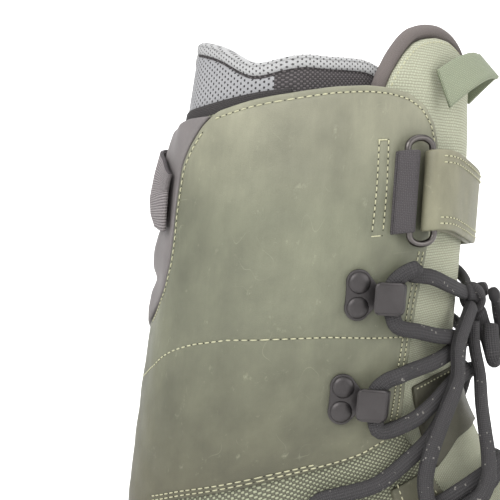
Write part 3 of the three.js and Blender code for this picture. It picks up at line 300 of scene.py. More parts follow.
def weave(name, thread, gap_shade, pitch, second=None):
    """Woven cloth, with painted shade in the gaps between the threads. The UV map is in mm."""
    depth, fleck = 0.00025, 0.35
    m = Nodes(name, thread, 0.85)
    uv, u, v = m.uv_axes()
    wobble = m.noise(uv, 0.35, 2)
    u = m.math("MULTIPLY_ADD", wobble, pitch * 0.8, u)
    v = m.math("MULTIPLY_ADD", wobble, pitch * 0.6, v)
    checker = m.math("MULTIPLY", m.wave(u, 2 * pitch), m.wave(v, 2 * pitch))
    height = m.math("MULTIPLY_ADD", m.math("ABSOLUTE", checker), 0.75, 0.2)
    over = m.math("MULTIPLY_ADD", m.math("SIGN", checker), 0.5, 0.5)
    yarn = m.noise(uv, 1.8, 3)
    warp = m.mix(over, thread, second or times(thread, 0.86))
    # Painted shade: where the weave lies low, between the threads, the colour goes toward the gap colour
    colour = m.mix(m.math("POWER", m.math("SUBTRACT", 1.0, height), 1.8), warp, gap_shade)
    colour = m.multiply(colour, yarn, fleck)
    broad = m.noise(m.coordinates("Object"), 14.0, 3)
    m.colour(m.multiply(colour, broad, 0.25))
    return m.normal(m.bump(yarn, depth * 0.4, m.bump(height, depth)))


def leather_material(name, base, top, low, gain=1.0):
    """Oiled nubuck: painted light high up, painted shade low down, soft clouds, faint pulled streaks, a few pale rubs
    and scratches. UV in mm.
    """
    m = Nodes(name, base, 0.55)
    uv = m.coordinates()
    place = m.add("ShaderNodeTexCoord").outputs["Object"]
    split = m.add("ShaderNodeSeparateXYZ")
    m.link(place, split.inputs[0])
    # Painted light and shade by height: low colour near the sole, base in the middle, top colour near the collar
    rise = m.math("MULTIPLY_ADD", split.outputs[2], 1 / 0.2, -0.095 / 0.2)
    colour = m.ramp(rise, [(0.1, low), (0.58, base), (0.78, base), (1.0, top)])
    cloudy = m.noise(m.coordinates("UV", (0.03, 0.016, 1)), 1.0, 4, 0.5)
    streak = m.noise(m.coordinates("UV", (0.9, 0.06, 1)), 1.0, 4, 0.6)
    patchy = m.noise(m.coordinates("UV", (0.1, 0.06, 1)), 1.0, 5, 0.6)
    fine = m.noise(uv, 3.0, 4, 0.65)
    colour = m.multiply(colour, cloudy, 0.75)
    colour = m.multiply(colour, streak, 0.1)
    colour = m.multiply(colour, patchy, 0.5)
    colour = m.multiply(colour, fine, 0.22)
    pale = tuple(min(c * 1.25 + 0.03, 1) for c in base)
    rub = m.threshold(m.noise(m.coordinates("UV", (0.22, 0.11, 1)), 1.0, 6, 0.75), 0.6, 0.78)
    colour = m.mix(m.math("MULTIPLY", rub, 0.35), colour, pale)
    across = m.noise(m.coordinates("UV", (0.16, 0.07, 1)), 1.0, 0, 0.0)
    line = m.math("ABSOLUTE", m.math("SUBTRACT", across, 0.5))
    thin = m.ramp(line, [(0.0, (1, 1, 1)), (0.008, (0, 0, 0))])
    sparse = m.threshold(m.noise(m.coordinates("UV", (0.05, 0.05, 1)), 1.3, 2), 0.55, 0.66)
    colour = m.mix(m.math("MULTIPLY", m.math("MULTIPLY", thin, sparse), 0.16), colour, pale)
    scale = m.add("ShaderNodeVectorMath", operation="SCALE")
    m.link(colour, scale.inputs[0])
    scale.inputs["Scale"].default_value = gain
    m.colour(scale.outputs[0])
    m.rough(m.math("MULTIPLY_ADD", cloudy, 0.25, 0.42))
    grain = m.add("ShaderNodeTexVoronoi", feature="DISTANCE_TO_EDGE")
    grain.inputs["Scale"].default_value = 1.5
    m.link(uv, grain.inputs["Vector"])
    m.shader.inputs["Specular IOR Level"].default_value = 0.4
    first = m.bump(grain.outputs["Distance"], 0.00006)
    return m.normal(m.bump(cloudy, 0.0012, m.bump(streak, 0.00005, m.bump(fine, 0.00008, first))))


def mesh_material(name, cloth, hole, pitch):
    """Spacer mesh: small holes in staggered columns, dark with painted shade. The UV map is in mm."""
    m = Nodes(name, cloth, 0.8)
    uv, u, v = m.uv_axes()
    a = m.math("COSINE", m.math("MULTIPLY", u, 2 * math.pi / pitch))
    half = m.math("MULTIPLY", u, math.pi / pitch)
    tall = m.math("MULTIPLY", v, math.pi * 1.25 / pitch)
    b = m.math("COSINE", m.math("ADD", half, tall))
    c = m.math("COSINE", m.math("SUBTRACT", half, tall))
    dots = m.math("ADD", m.math("ADD", a, b), c)
    hole_mask = m.threshold(m.math("MULTIPLY", dots, 1 / 3), 0.42, 0.72)
    fuzz = m.noise(uv, 2.0, 3)
    # Painted shade: the holes take the dark hole colour
    colour = m.mix(hole_mask, m.mix(fuzz, times(cloth, 0.72), times(cloth, 1.3)), hole)
    m.colour(m.multiply(colour, m.noise(m.coordinates("Object"), 18.0, 2), 0.25))
    return m.normal(m.bump(m.math("MULTIPLY", hole_mask, -1.0), 0.0006))


def ribbed(name, cloth, gap_shade, pitch, depth):
    """Ribbed webbing, its ribs along u, with painted shade in the grooves. The UV map is in mm."""
    thread = 0.55
    m = Nodes(name, cloth, 0.85)
    uv, u, v = m.uv_axes()
    rib = m.math("ABSOLUTE", m.wave(v, 2 * pitch))
    fine = m.math("MULTIPLY_ADD", m.wave(m.math("ADD", u, v), thread), 0.5, 0.5)
    height = m.math("ADD", m.math("MULTIPLY", rib, 0.8), m.math("MULTIPLY", fine, 0.2))
    # Painted shade: the grooves between the ribs go toward the gap colour
    colour = m.mix(m.math("POWER", m.math("SUBTRACT", 1.0, rib), 1.5), cloth, gap_shade)
    colour = m.multiply(colour, fine, 0.25)
    m.colour(m.multiply(colour, m.noise(uv, 0.5, 4), 0.35))
    return m.normal(m.bump(height, depth))


def plain(name, base, roughness, metallic=0.0, grain=1.5, depth=0.00005, vary=0.3, clear=False):
    """One even material: metal, rubber, foam, smooth cloth or thread."""
    m = Nodes(name, base, roughness, metallic)
    place = m.coordinates("Object", (1000, 1000, 1000))
    fine = m.noise(place, grain, 4)
    broad = m.noise(place, 0.06, 3)
    base_colour = m.ramp(broad, [(0.3, times(base, 1 - vary)), (0.7, times(base, 1 + vary))])
    m.colour(m.multiply(base_colour, fine, 0.25))
    m.rough(m.math("MULTIPLY_ADD", fine, 0.25, roughness - 0.12))
    if clear:
        m.shader.inputs["Transmission Weight"].default_value = 0.75
    return m.normal(m.bump(fine, depth))


def braid(name, dark, light):
    """Braided lace, with painted shade in the plait's hollows and painted light on its strands. UV in mm: u round the
    lace, v along it.
    """
    plait = 1.7
    m = Nodes(name, dark, 0.8)
    uv, u, v = m.uv_axes()
    one = m.wave(m.math("ADD", u, v), plait)
    two = m.wave(m.math("SUBTRACT", u, v), plait)
    height = m.math("MULTIPLY_ADD", m.math("MULTIPLY", one, two), 0.5, 0.5)
    # Painted light and shade: darker copy of the lace colour in the hollows, lighter copy on the raised strands
    colour = m.mix(height, times(dark, 0.6), times(dark, 1.3))
    cells = m.add("ShaderNodeTexVoronoi")
    cells.inputs["Scale"].default_value = 0.75
    m.link(uv, cells.inputs["Vector"])
    chosen = m.math("GREATER_THAN", m.noise(cells.outputs["Color"], 9.0, 0), 0.68)
    near = m.math("LESS_THAN", cells.outputs["Distance"], 0.3)
    m.colour(m.mix(m.math("MULTIPLY", m.math("MULTIPLY", chosen, near), 0.75), colour, light))
    return m.normal(m.bump(height, 0.0003))


LEATHER_C = linear(151, 153, 129)
# For each leather, the colour after the base is painted light at the top and the next is painted shade low down
LEATHER = leather_material("oiled_nubuck", LEATHER_C, linear(186, 185, 159), linear(116, 112, 90), 1.08)
LEATHER_STRAP = leather_material("strap_nubuck", linear(158, 156, 130), linear(164, 160, 134), linear(150, 148, 122),
                                 1.3)
LEATHER_DARK = leather_material("dark_nubuck", linear(112, 110, 92), linear(118, 114, 94), linear(104, 100, 82), 1.1)
# After each cloth's own colour comes the colour of its gaps, grooves or holes: painted shade
CANVAS = weave("canvas_low", linear(186, 190, 160), linear(44, 42, 36), 1.0, second=linear(112, 111, 94))
CANVAS_TONGUE = weave("canvas_tongue", linear(222, 225, 198), linear(110, 106, 88), 0.85)
MESH = mesh_material("liner_mesh", linear(150, 150, 152), linear(40, 38, 39), 1.35)
KNIT = weave("liner_knit", linear(112, 106, 107), linear(26, 24, 24), 0.85, second=linear(66, 62, 63))
RIM = mesh_material("liner_rim", linear(168, 168, 168), linear(80, 78, 78), 1.2)
PAD = plain("pad_cover", linear(112, 107, 106), 0.6, grain=0.9, vary=0.1)
COLLAR_PAD = weave("collar_band", linear(70, 66, 66), linear(24, 22, 22), 0.7)
WEBBING = ribbed("rear_ribs", linear(152, 145, 145), linear(78, 72, 74), 1.0, depth=0.0004)
PIPING = weave("piping_cloth", linear(148, 138, 134), linear(88, 80, 77), 0.45)
RING_WEBBING = weave("tab_webbing", linear(98, 93, 95), linear(32, 29, 31), 0.7)
PULL = weave("pull_webbing", linear(172, 181, 154), linear(110, 114, 92), 0.7)
HOOK_METAL = plain("hook_metal", linear(74, 71, 71), 0.42, 0.8, grain=2.0, depth=0.00003, vary=0.15)
RING_METAL = plain("ring_steel", linear(98, 94, 92), 0.32, 1.0, grain=1.0, depth=0.00001, vary=0.1)
LACE = braid("lace_braid", linear(50, 48, 49), linear(128, 125, 119))
AGLET = plain("aglet_tube", linear(205, 182, 178), 0.18, vary=0.05, clear=True)
RUBBER = plain("outsole_rubber", linear(58, 55, 55), 0.75, grain=2.2, depth=0.00012)
FOAM = plain("midsole_foam", linear(76, 71, 71), 0.7, grain=1.4, depth=0.00014)
FOOTBED = weave("footbed_cloth", linear(96, 92, 90), linear(60, 57, 55), 0.7)
THREAD = plain("stitch_thread", linear(186, 184, 152), 0.6, grain=2.0, vary=0.1)
# Painted shade: dark discs at the stitches' needle holes
NEEDLE_HOLE_SHADE = plain("needle_hole_shade", linear(46, 44, 32), 0.9, vary=0.1)
THREAD_GREY = plain("grey_thread", linear(110, 106, 102), 0.7, grain=2.0, vary=0.1)


# Mesh builders

def make_object(name, vertices, faces, materials, uvs=None, smooth=True, face_material=None):
    """A mesh object from points in mm."""
    mesh = bpy.data.meshes.new(name)
    mesh.from_pydata([tuple(v) for v in (np.asarray(vertices) * MM)], [], [tuple(int(i) for i in f) for f in faces])
    for material in materials if isinstance(materials, (list, tuple)) else [materials]:
        mesh.materials.append(material)
    if uvs is not None:
        layer = mesh.uv_layers.new(name="UVMap")
        uvs = np.asarray(uvs, float)
        index = np.zeros(len(mesh.loops), int)
        mesh.loops.foreach_get("vertex_index", index)
        layer.data.foreach_set("uv", uvs[index].astype(np.float32).ravel())
    if face_material is not None:
        mesh.polygons.foreach_set("material_index", np.asarray(face_material, int))
    if smooth:
        mesh.polygons.foreach_set("use_smooth", [True] * len(mesh.polygons))
    mesh.update()
    obj = bpy.data.objects.new(name, mesh)
    bpy.context.collection.objects.link(obj)
    return obj


def put(obj, nodes=()):
    """A piece that rides on the boot, in the place of these CAD nodes."""
    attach(obj, "root")
    if nodes:
        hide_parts(*nodes)
    return obj


def resample(points, step, closed=True):
    """Points at even steps along a line."""
    points = np.asarray(points, float)
    if closed:
        points = np.vstack([points, points[:1]])
    lengths = np.linalg.norm(np.diff(points, axis=0), axis=1)
    total = np.concatenate([[0], np.cumsum(lengths)])
    count = max(int(round(total[-1] / step)), 3)
    at = np.linspace(0, total[-1], count + 1)
    if closed:
        at = at[:-1]
    return np.stack([np.interp(at, total, points[:, k]) for k in range(points.shape[1])], -1)


def soften(points, times, closed=True):
    points = np.asarray(points, float)
    for _ in range(times):
        blurred = (np.roll(points, 1, 0) + 2 * points + np.roll(points, -1, 0)) / 4
        if not closed:
            blurred[0], blurred[-1] = points[0], points[-1]
        points = blurred
    return points


def distance_to(points, line, closed):
    line = np.asarray(line, float)
    a, b = (line, np.roll(line, -1, 0)) if closed else (line[:-1], line[1:])
    best = np.full(len(points), 1e9)
    for start in range(0, len(a), 64):
        p, q = a[start:start + 64][None], b[start:start + 64][None]
        d = q - p
        f = np.clip(((points[:, None] - p) * d).sum(-1) / np.maximum((d * d).sum(-1), 1e-9), 0, 1)
        best = np.minimum(best, np.linalg.norm(points[:, None] - p - f[..., None] * d, axis=-1).min(1))
    return best


def inside(points, outline):
    x, y = points[:, 0], points[:, 1]
    result = np.zeros(len(points), bool)
    a, b = outline, np.roll(outline, -1, 0)
    for (x1, y1), (x2, y2) in zip(a, b):
        crosses = (y1 > y) != (y2 > y)
        if y1 != y2:
            result ^= crosses & (x < (x2 - x1) * (y - y1) / (y2 - y1) + x1)
    return result


def patch(name, outline, top, bottom, material, scale=SHAFT_SCALE, spacing=2.2, edge=0.8, grooves=(), grow=None,
          mirror=False, soft=2, ripple=0.0):
    """A piece of material on the form, from its outline in station and degrees."""
    scale = np.array(scale)
    line = soften(resample(np.array(outline, float) * scale, 1.1), soft)
    low, high = line.min(0), line.max(0)
    gu, gv = np.meshgrid(np.arange(low[0], high[0], spacing), np.arange(low[1], high[1], spacing), indexing="ij")
    gu[:, ::2] += spacing / 2
    grid = np.stack([gu.ravel(), gv.ravel()], -1)
    grid = grid[inside(grid, line)]
    far = distance_to(grid, line, True)
    grid = grid[far > edge * 1.25]
    area = np.sum(line[:, 0] * np.roll(line[:, 1], -1) - np.roll(line[:, 0], -1) * line[:, 1])
    tangent = np.roll(line, -1, 0) - np.roll(line, 1, 0)
    tangent /= np.linalg.norm(tangent, axis=1, keepdims=True)
    normal = np.stack([-tangent[:, 1], tangent[:, 0]], -1) * (1 if area > 0 else -1)
    rings = [line + normal * d for d in (edge * 0.3, edge)]
    extra = [resample(np.array(groove, float) * scale, 1.1, closed=False) for groove in grooves]
    points = np.vstack([line, *rings, grid])
    for centre in extra:
        keep = distance_to(centre, line, True) > edge
        centre = centre[keep]
        if len(centre):
            points = points[np.concatenate([np.ones(3 * len(line), bool),
                                            distance_to(points[3 * len(line):], centre, False) > 0.9])]
            side = np.gradient(centre, axis=0)
            side = np.stack([-side[:, 1], side[:, 0]], -1) / np.linalg.norm(side, axis=1, keepdims=True)
            points = np.vstack([points, centre, centre + side * 0.8, centre - side * 0.8])
    count = len(line)
    edges = [(i, (i + 1) % count) for i in range(count)]
    out = delaunay_2d_cdt([Vector(p) for p in points], edges, [], 1, 1e-4)
    flat = np.array([tuple(p) for p in out[0]])
    faces = [list(f) for f in out[2]]
    d = distance_to(flat, line, True)
    t, deg = flat[:, 0] / scale[0], flat[:, 1] / scale[1]
    if mirror:
        deg = -deg
    f = np.clip(d / edge, 0, 1)
    height = np.full(len(flat), float(top)) - edge * (1 - np.sqrt(1 - (1 - f) ** 2)) * 0.9
    for centre in extra:
        height -= 0.28 * np.exp(-(distance_to(flat, centre, False) / 0.75) ** 2)
    if ripple:
        height += ripple * (np.sin(flat[:, 0] * 0.31 + np.sin(flat[:, 1] * 0.11) * 2)
                            * np.sin(flat[:, 1] * 0.17 + flat[:, 0] * 0.05)) * np.clip(d / 12, 0, 1)
    base = grow(t, deg) if grow else 0
    surface = form(t, deg, height + base)
    seen = {}
    for face in faces:
        for a, b in zip(face, face[1:] + face[:1]):
            seen[(a, b)] = seen.get((a, b), 0) + 1
    border = [(a, b) for (a, b) in seen if (b, a) not in seen]
    used = sorted({a for pair in border for a in pair})
    place = {v: len(flat) + i for i, v in enumerate(used)}
    index = np.array(used)
    wall = form(t[index], deg[index], bottom + (grow(t[index], deg[index]) if grow else 0))
    faces += [[b, a, place[a], place[b]] for a, b in border]
    vertices = np.vstack([surface, wall])
    uv = np.vstack([flat[:, ::-1], flat[index][:, ::-1]])
    a, b, c = (surface[i] for i in faces[0][:3])
    corner = faces[0][0]
    if np.dot(np.cross(b - a, c - a), outward(t[corner], deg[corner])) < 0:
        faces = [face[::-1] for face in faces]
    return make_object(name, vertices, faces, material, uv)


def stitches(name, lines, lift, pitch=2.5, length=1.7, width=0.62, material=None, grow=None, scale=SHAFT_SCALE):
    """Rows of stitches on the form, each a small rounded bar with a dark disc at its end as painted shade in the needle
    hole.
    """
    scale = np.array(scale)
    vertices, faces, shade = [], [], []
    for line in lines:
        path = soften(resample(np.array(line, float) * scale, 0.8, closed=False), 6, closed=False)
        for p in resample(path, pitch, closed=False)[:-1]:
            j = int(np.argmin(np.linalg.norm(path - p, axis=1)))
            d = path[min(j + 1, len(path) - 1)] - path[max(j - 1, 0)]
            d = d / max(np.linalg.norm(d), 1e-6)
            here = p / scale
            base = float(grow(np.array([here[0]]), np.array([here[1]]))[0]) if grow else 0.0
            ends = [(p + d * s) / scale for s in (-length / 2, length / 2)]
            a, b = (form(e[0], e[1], lift + base) for e in ends)
            n = outward(here[0], here[1])
            along = b - a
            side = np.cross(n, along)
            side /= np.linalg.norm(side)
            start = len(vertices)
            rings = [(0.0, 0.35, -0.28), (0.16, 0.9, 0.0), (0.5, 1.0, 0.1), (0.84, 0.9, 0.0), (1.0, 0.35, -0.28)]
            for f, fat, up in rings:
                centre = a + along * f + n * up
                for q in range(6):
                    angle = q * math.pi / 3
                    vertices.append(centre + side * math.cos(angle) * width / 2 * fat
                                    + n * math.sin(angle) * width * 0.42 * fat)
            for ring in range(len(rings) - 1):
                for q in range(6):
                    here_q, next_q = start + ring * 6 + q, start + ring * 6 + (q + 1) % 6
                    faces.append([here_q, next_q, next_q + 6, here_q + 6])
                    shade.append(0)
            # The needle hole: a flat dark disc just under the thread, painted shade
            hole = (p + d * (length / 2 + (pitch - length) / 2)) / scale
            c = form(hole[0], hole[1], lift + base - 0.02)
            t1 = along / np.linalg.norm(along)
            start = len(vertices)
            for q in range(6):
                angle = q * math.pi / 3
                vertices.append(c + side * math.cos(angle) * width * 0.55 + t1 * math.sin(angle) * width * 0.5)
            faces.append([start + q for q in range(6)])
            shade.append(1)
    return make_object(name, vertices, faces, [material or THREAD, NEEDLE_HOLE_SHADE], None, True, shade)


def catmull(points, step):
    """Centripetal Catmull-Rom through points, at even steps."""
    p = np.asarray(points, float)
    p = np.vstack([2 * p[0] - p[1], p, 2 * p[-1] - p[-2]])
    out = []
    for i in range(1, len(p) - 2):
        p0, p1, p2, p3 = p[i - 1:i + 3]
        k = [0.0]
        for a, b in ((p0, p1), (p1, p2), (p2, p3)):
            k.append(k[-1] + max(np.linalg.norm(b - a), 1e-6) ** 0.5)
        for f in np.linspace(k[1], k[2], 12, endpoint=False):
            a1 = (k[1] - f) / (k[1] - k[0]) * p0 + (f - k[0]) / (k[1] - k[0]) * p1
            a2 = (k[2] - f) / (k[2] - k[1]) * p1 + (f - k[1]) / (k[2] - k[1]) * p2
            a3 = (k[3] - f) / (k[3] - k[2]) * p2 + (f - k[2]) / (k[3] - k[2]) * p3
            b1 = (k[2] - f) / (k[2] - k[0]) * a1 + (f - k[0]) / (k[2] - k[0]) * a2
            b2 = (k[3] - f) / (k[3] - k[1]) * a2 + (f - k[1]) / (k[3] - k[1]) * a3
            out.append((k[2] - f) / (k[2] - k[1]) * b1 + (f - k[1]) / (k[2] - k[1]) * b2)
    out.append(p[-2])
    return resample(np.array(out), step, closed=False)


def tube_faces(count, sides):
    """The side faces between rings of points."""
    return [[i * sides + j, i * sides + (j + 1) % sides, (i + 1) * sides + (j + 1) % sides, (i + 1) * sides + j]
            for i in range(count - 1) for j in range(sides)]


def sweep(name, path, normals, width, height, material, sides=14, power=2.6, caps=True):
    """An oval section along a path, its flat side facing along the normals."""
    path = np.asarray(path, float)
    normals = np.asarray(normals, float)
    tangent = np.gradient(path, axis=0)
    tangent /= np.linalg.norm(tangent, axis=1, keepdims=True)
    side = np.cross(tangent, normals)
    side /= np.linalg.norm(side, axis=1, keepdims=True)
    up = np.cross(side, tangent)
    angle = 2 * math.pi * (np.arange(sides) + 0.5) / sides
    cx = np.sign(np.cos(angle)) * np.abs(np.cos(angle)) ** (2 / power) * width / 2
    cy = np.sign(np.sin(angle)) * np.abs(np.sin(angle)) ** (2 / power) * height / 2
    vertices = path[:, None] + side[:, None] * cx[None, :, None] + up[:, None] * cy[None, :, None]
    run = np.concatenate([[0], np.cumsum(np.linalg.norm(np.diff(path, axis=0), axis=1))])
    girth = np.linspace(0, math.pi * (width + height) / 2, sides, endpoint=False)
    uv = np.stack(np.broadcast_arrays(girth[None, :], run[:, None]), -1).reshape(-1, 2)
    faces = tube_faces(len(path), sides)
    if caps:
        faces.append(list(range(sides))[::-1])
        faces.append([(len(path) - 1) * sides + j for j in range(sides)])
    return make_object(name, vertices.reshape(-1, 3), faces, material, uv)


def lace(name, points, normals, width, height):
    """A run of lace through points, and the path that it follows."""
    points = np.asarray(points, float)
    path = catmull(points, 1.6)
    near = np.argmin(np.linalg.norm(path[:, None] - points[None], axis=-1), axis=1)
    chosen = soften(np.asarray(normals, float)[near], 10, closed=False)
    return sweep(name, path, chosen, width, height, LACE), path


def on_form(rows, sign=1):
    """Points and normals from rows of station, degrees and lift."""
    rows = np.array(rows, float)
    return form(rows[:, 0], sign * rows[:, 1], rows[:, 2]), outward(rows[:, 0], sign * rows[:, 1])


def join(name, objects):
    bpy.ops.object.select_all(action="DESELECT")
    for obj in objects:
        obj.select_set(True)
    bpy.context.view_layer.objects.active = objects[0]
    bpy.ops.object.join()
    objects[0].name = name
    return objects[0]


# Hooks' and loops' frames, as in the CAD source

def frame_on_form(rear, front, lift):
    """Forward, up, outward and origin of a fitting between two points of the form."""
    a, b = form(*rear, lift), form(*front, lift)
    t, deg = (rear[0] + front[0]) / 2, (rear[1] + front[1]) / 2
    above, below = form(t - 0.02, deg, lift), form(t + 0.02, deg, lift)
    forward = (b - a) / np.linalg.norm(b - a)
    out = np.cross(forward, above - below)
    out /= np.linalg.norm(out)
    if np.sign(deg) * out[1] < 0:
        out = -out
    forward = forward - out * forward.dot(out)
    forward /= np.linalg.norm(forward)
    return forward, np.cross(out, forward), out, form(t, deg, lift)


# Rear end and front end, in station and degrees, and lift
HOOKS = {
    "upper": ([3.155, 63.5], [3.22, 50], 2.3),
    "middle": ([4.31, 66], [4.46, 55], 2.3),
    "ankle": ([6.36, 88], [6.46, 76], 0.3),
}
LOOPS = {
    "1": ([8.5, 45], [8.5, 35], 2.8),
    "2": ([10.3, 38], [10.3, 26], 2.8),
}
SIDES = (("lateral", -1), ("medial", 1))


def spot_frame(spot, sign):
    """The frame of a hook or loop on one side."""
    rear, front, lift = spot
    return frame_on_form([rear[0], sign * rear[1]], [front[0], sign * front[1]], lift)


def placer(spot, sign):
    """A function that takes x forward, y up and z outward of a fitting to the boot's frame."""
    forward, up, out, origin = spot_frame(spot, sign)
    return lambda x, y, z: origin + forward * x + up * y + out * z


def through(spot, sign, places):
    """Points and normals of a lace that runs through a hook or loop."""
    forward, up, out, origin = spot_frame(spot, sign)
    return [origin + forward * x - sign * up * y + out * z for x, y, z in places], [out] * len(places)


BED = 4.3
HOOK_REST = [[15.5, 12.6, 5.2], [10.6, 10, 4.6], [6.6, 5.6, BED], [5.6, 0, BED], [6.6, -5.6, BED]]
HOOK_EXIT = [[7, -6.3, BED], [9.4, -11.4, BED]]
LOOP_BED = 4.0
LOOP_REST = [[1.6, 9.5, LOOP_BED], [0, 4, LOOP_BED], [0, 0, LOOP_BED], [0, -5, LOOP_BED]]
LOOP_EXIT = [[0.6, -5.5, LOOP_BED], [4, -10.5, LOOP_BED]]

# Free lengths of lace come first
LACE_WIDTH = 7.0
RUN_WIDTH, RUN_HEIGHT = 6.6, 3.9
BOW_LONG = [
    [3.52, -4.7, 10.4], [3.7, -11, 10.3], [4, -17.5, 10.4], [4.5, -21, 10.9], [4.93, -29, 10.9], [5.38, -36, 10.7],
    [5.9, -42, 10.4], [6.5, -46, 10], [7.1, -47, 10.6], [7.6, -43, 10.8], [7.7, -35, 11.4], [7.35, -27, 12],
    [6.7, -20, 11.6], [5.98, -16, 12], [5.23, -10, 12.5], [4.6, -4, 13], [4.1, -3, 12.2], [3.72, -3, 11.4],
]
BOW_SHORT = [[3.6, 3.2, 11.4], [3.65, 5, 12.4], [3.8, 10, 14], [4.1, 9, 17], [4.45, 4, 18.5], [4.35, -1, 19.5],
             [4.05, 0, 19], [3.85, 2, 18]]
END_LATERAL = [[3.43, 2.4, 18.2], [3.47, 5, 19], [3.8, 12, 22], [4.2, 11.5, 24.5], [4.6, 11, 25.5], [5.05, 10.5, 25]]
END_MEDIAL = [[3.36, 5, 12.2], [3.36, 11, 13], [3.4, 18, 11], [3.7, 26, 11], [4.2, 32, 11], [4.9, 36, 11],
              [5.6, 40, 11], [6.3, 44, 11.5]]


cords = {}
for cord_name, cord_rows in (("lace_bow_long", BOW_LONG), ("lace_bow_short", BOW_SHORT),
                             ("lace_end_lateral", END_LATERAL), ("lace_end_medial", END_MEDIAL)):
    points, normals = on_form(cord_rows)
    if cord_name == "lace_bow_short":
        normals = [np.array([0.3, -1.0, 0.2])] * len(points)
    obj, path = lace(cord_name + "_braid", points, normals, width=LACE_WIDTH, height=5.0)
    put(obj, [cord_name])
    cords[cord_name] = (obj, path)


def make_aglet(name, path, node):
    direction = path[-1] - path[-3]
    direction /= np.linalg.norm(direction)
    start = path[-1] - direction * 2
    line = np.array([start + direction * d for d in (0, 0.3, 1, 6, 12, 18.5, 19.6, 20)])
    across = np.cross(direction, [0.3, 0.9, 0.2])
    obj = sweep(name, line, [across] * len(line), 3.9, 3.9, AGLET, sides=20, power=2.0)
    return put(obj, [node])


aglets = {
    "lace_end_lateral": make_aglet("aglet_lateral_tube", cords["lace_end_lateral"][1], "aglet_lateral"),
    "lace_end_medial": make_aglet("aglet_medial_tube", cords["lace_end_medial"][1], "aglet_medial"),
}

# Fixed runs of lace
ROWS = {
    1: ("upper", "middle", [[3.66, 37, 5.2], [3.76, 27, 5.3], [3.86, 13, 5.4], [3.95, 0, 5.4], [4.05, -14, 5.4],
                            [4.12, -27, 5.3], [4.15, -39, 5.2]]),
    2: ("middle", "ankle", [[5.02, 43, 5.2], [4.86, 33, 5.6], [4.58, 18, 5.8], [4.52, 0, 5.8], [4.72, -17, 5.8],
                            [5.02, -25, 5.6], [5.5, -36, 5.4], [5.84, -48, 5.2], [6.06, -59, 5]]),
    3: ("ankle", "1", [[7.06, 62, 5], [7.2, 45, 5.2], [7.2, 28, 5.3], [7.28, 0, 5.4], [7.5, -20, 5.3]]),
    4: ("1", "2", [[9.1, 22, 5.3], [9.2, 0, 5.4], [9.35, -16, 5.3]]),
}


def strand(name, first, middle_rows, sign, last, over):
    """One run of lace from a fitting to another, lifted by over where it crosses the other run."""
    pts, nrm = (list(x) for x in first) if first else ([], [])
    lifted = [[t, d, lift + over * math.exp(-(d / 11) ** 2)] for t, d, lift in middle_rows]
    p, n = on_form(lifted, sign)
    pts, nrm = pts + list(p) + list(last[0]), nrm + list(n) + list(last[1])
    obj, _ = lace(name, pts, nrm, width=RUN_WIDTH, height=RUN_HEIGHT)
    return obj


def spot(name):
    return HOOKS[name] if name in HOOKS else LOOPS[name]


for number, (start, end, middle_rows) in ROWS.items():
    parts = []
    for side, sign in SIDES:
        parts.append(strand(f"lace_cross_{number}_{side}",
                            through(spot(start), sign, HOOK_EXIT if start in HOOKS else LOOP_EXIT), middle_rows, sign,
                            through(spot(end), -sign, HOOK_REST if end in HOOKS else LOOP_REST),
                            2.6 if sign < 0 else -0.6))
    both = join(f"lace_cross_{number}_braid", parts)
    put(both, [f"lace_cross_{number}"])
TOP_ROWS = [[3.34, 4, 6.4], [3.22, 19, 5.6], [3.08, 33, 5.2], [3.02, 43, 5.2]]
for side, sign in SIDES:
    obj = strand(f"lace_top_{side}_braid", None, TOP_ROWS, sign, through(HOOKS["upper"], sign, HOOK_REST), 0)
    put(obj, [f"lace_top_{side}"])
exits = [through(LOOPS["2"], sign, LOOP_EXIT) for _, sign in SIDES]
p, n = on_form([[10.75, -12, 5], [10.78, 0, 5], [10.75, 12, 5]])
obj, _ = lace("lace_bar_braid", exits[0][0] + list(p) + exits[1][0][::-1], exits[0][1] + list(n) + exits[1][1],
              width=RUN_WIDTH, height=RUN_HEIGHT)
put(obj, ["lace_bar"])

# The knot: two wraps of lace round the crossing, with the bow's roots under them
knot_at = form(3.4, 0, 9.2)
knot_out = outward(3.4, 0.0)
knot_side = np.array([0.0, 1.0, 0.0])
knot_up = np.cross(knot_out, knot_side)


def wrap(name, tilt, shift, radius_out, radius_up, width, height):
    axis = knot_side * math.cos(tilt) + knot_up * math.sin(tilt)
    second = np.cross(knot_out, axis)
    second /= np.linalg.norm(second)
    pts, nrm = [], []
    for k in range(30):
        angle = 2 * math.pi * k / 28
        direction = knot_out * math.cos(angle) + second * math.sin(angle)
        pts.append(knot_at + axis * shift + knot_out * math.cos(angle) * radius_out
                   + second * math.sin(angle) * radius_up + axis * 1.2 * (k / 28 - 0.5))
        nrm.append(direction)
    return sweep(name, np.array(pts), np.array(nrm), width, height, LACE)


knot_parts = [wrap("wrap_a", 0.35, -1.6, 4.0, 5.4, 6.6, 3.6), wrap("wrap_b", -0.5, 2.6, 3.6, 4.6, 6.2, 3.4)]
p, n = [], []
for y, z, out in ((-8, 2.5, -1.5), (-4, 1.5, 0.5), (0, -0.5, 1.5), (4, -2, 1), (8, -3.5, 1.5)):
    p.append(knot_at + knot_side * y + knot_up * z + knot_out * out)
    n.append(knot_out)
core, _ = lace("wrap_core", p, n, width=7.2, height=4.6)
knot = join("lace_knot_braid", knot_parts + [core])
put(knot, ["lace_knot"])

# Outlines on the form
TOP_LINE = [[1.41, -180], [1.41, -150], [1.41, -135], [1.4, -125], [1.39, -115], [1.34, -102], [1.28, -90],
            [1.245, -76], [1.235, -64], [1.255, -55], [1.305, -46], [1.405, -38], [1.57, -32], [1.77, -29]]
THROAT = [[2.83, -32], [3.3, -35], [3.88, -37], [4.59, -41], [5.11, -44.5], [5.6, -41], [6.2, -38], [7, -36],
          [8, -33], [9, -30], [10, -27], [11, -23], [11.6, -18], [11.95, -11], [12.05, 0]]


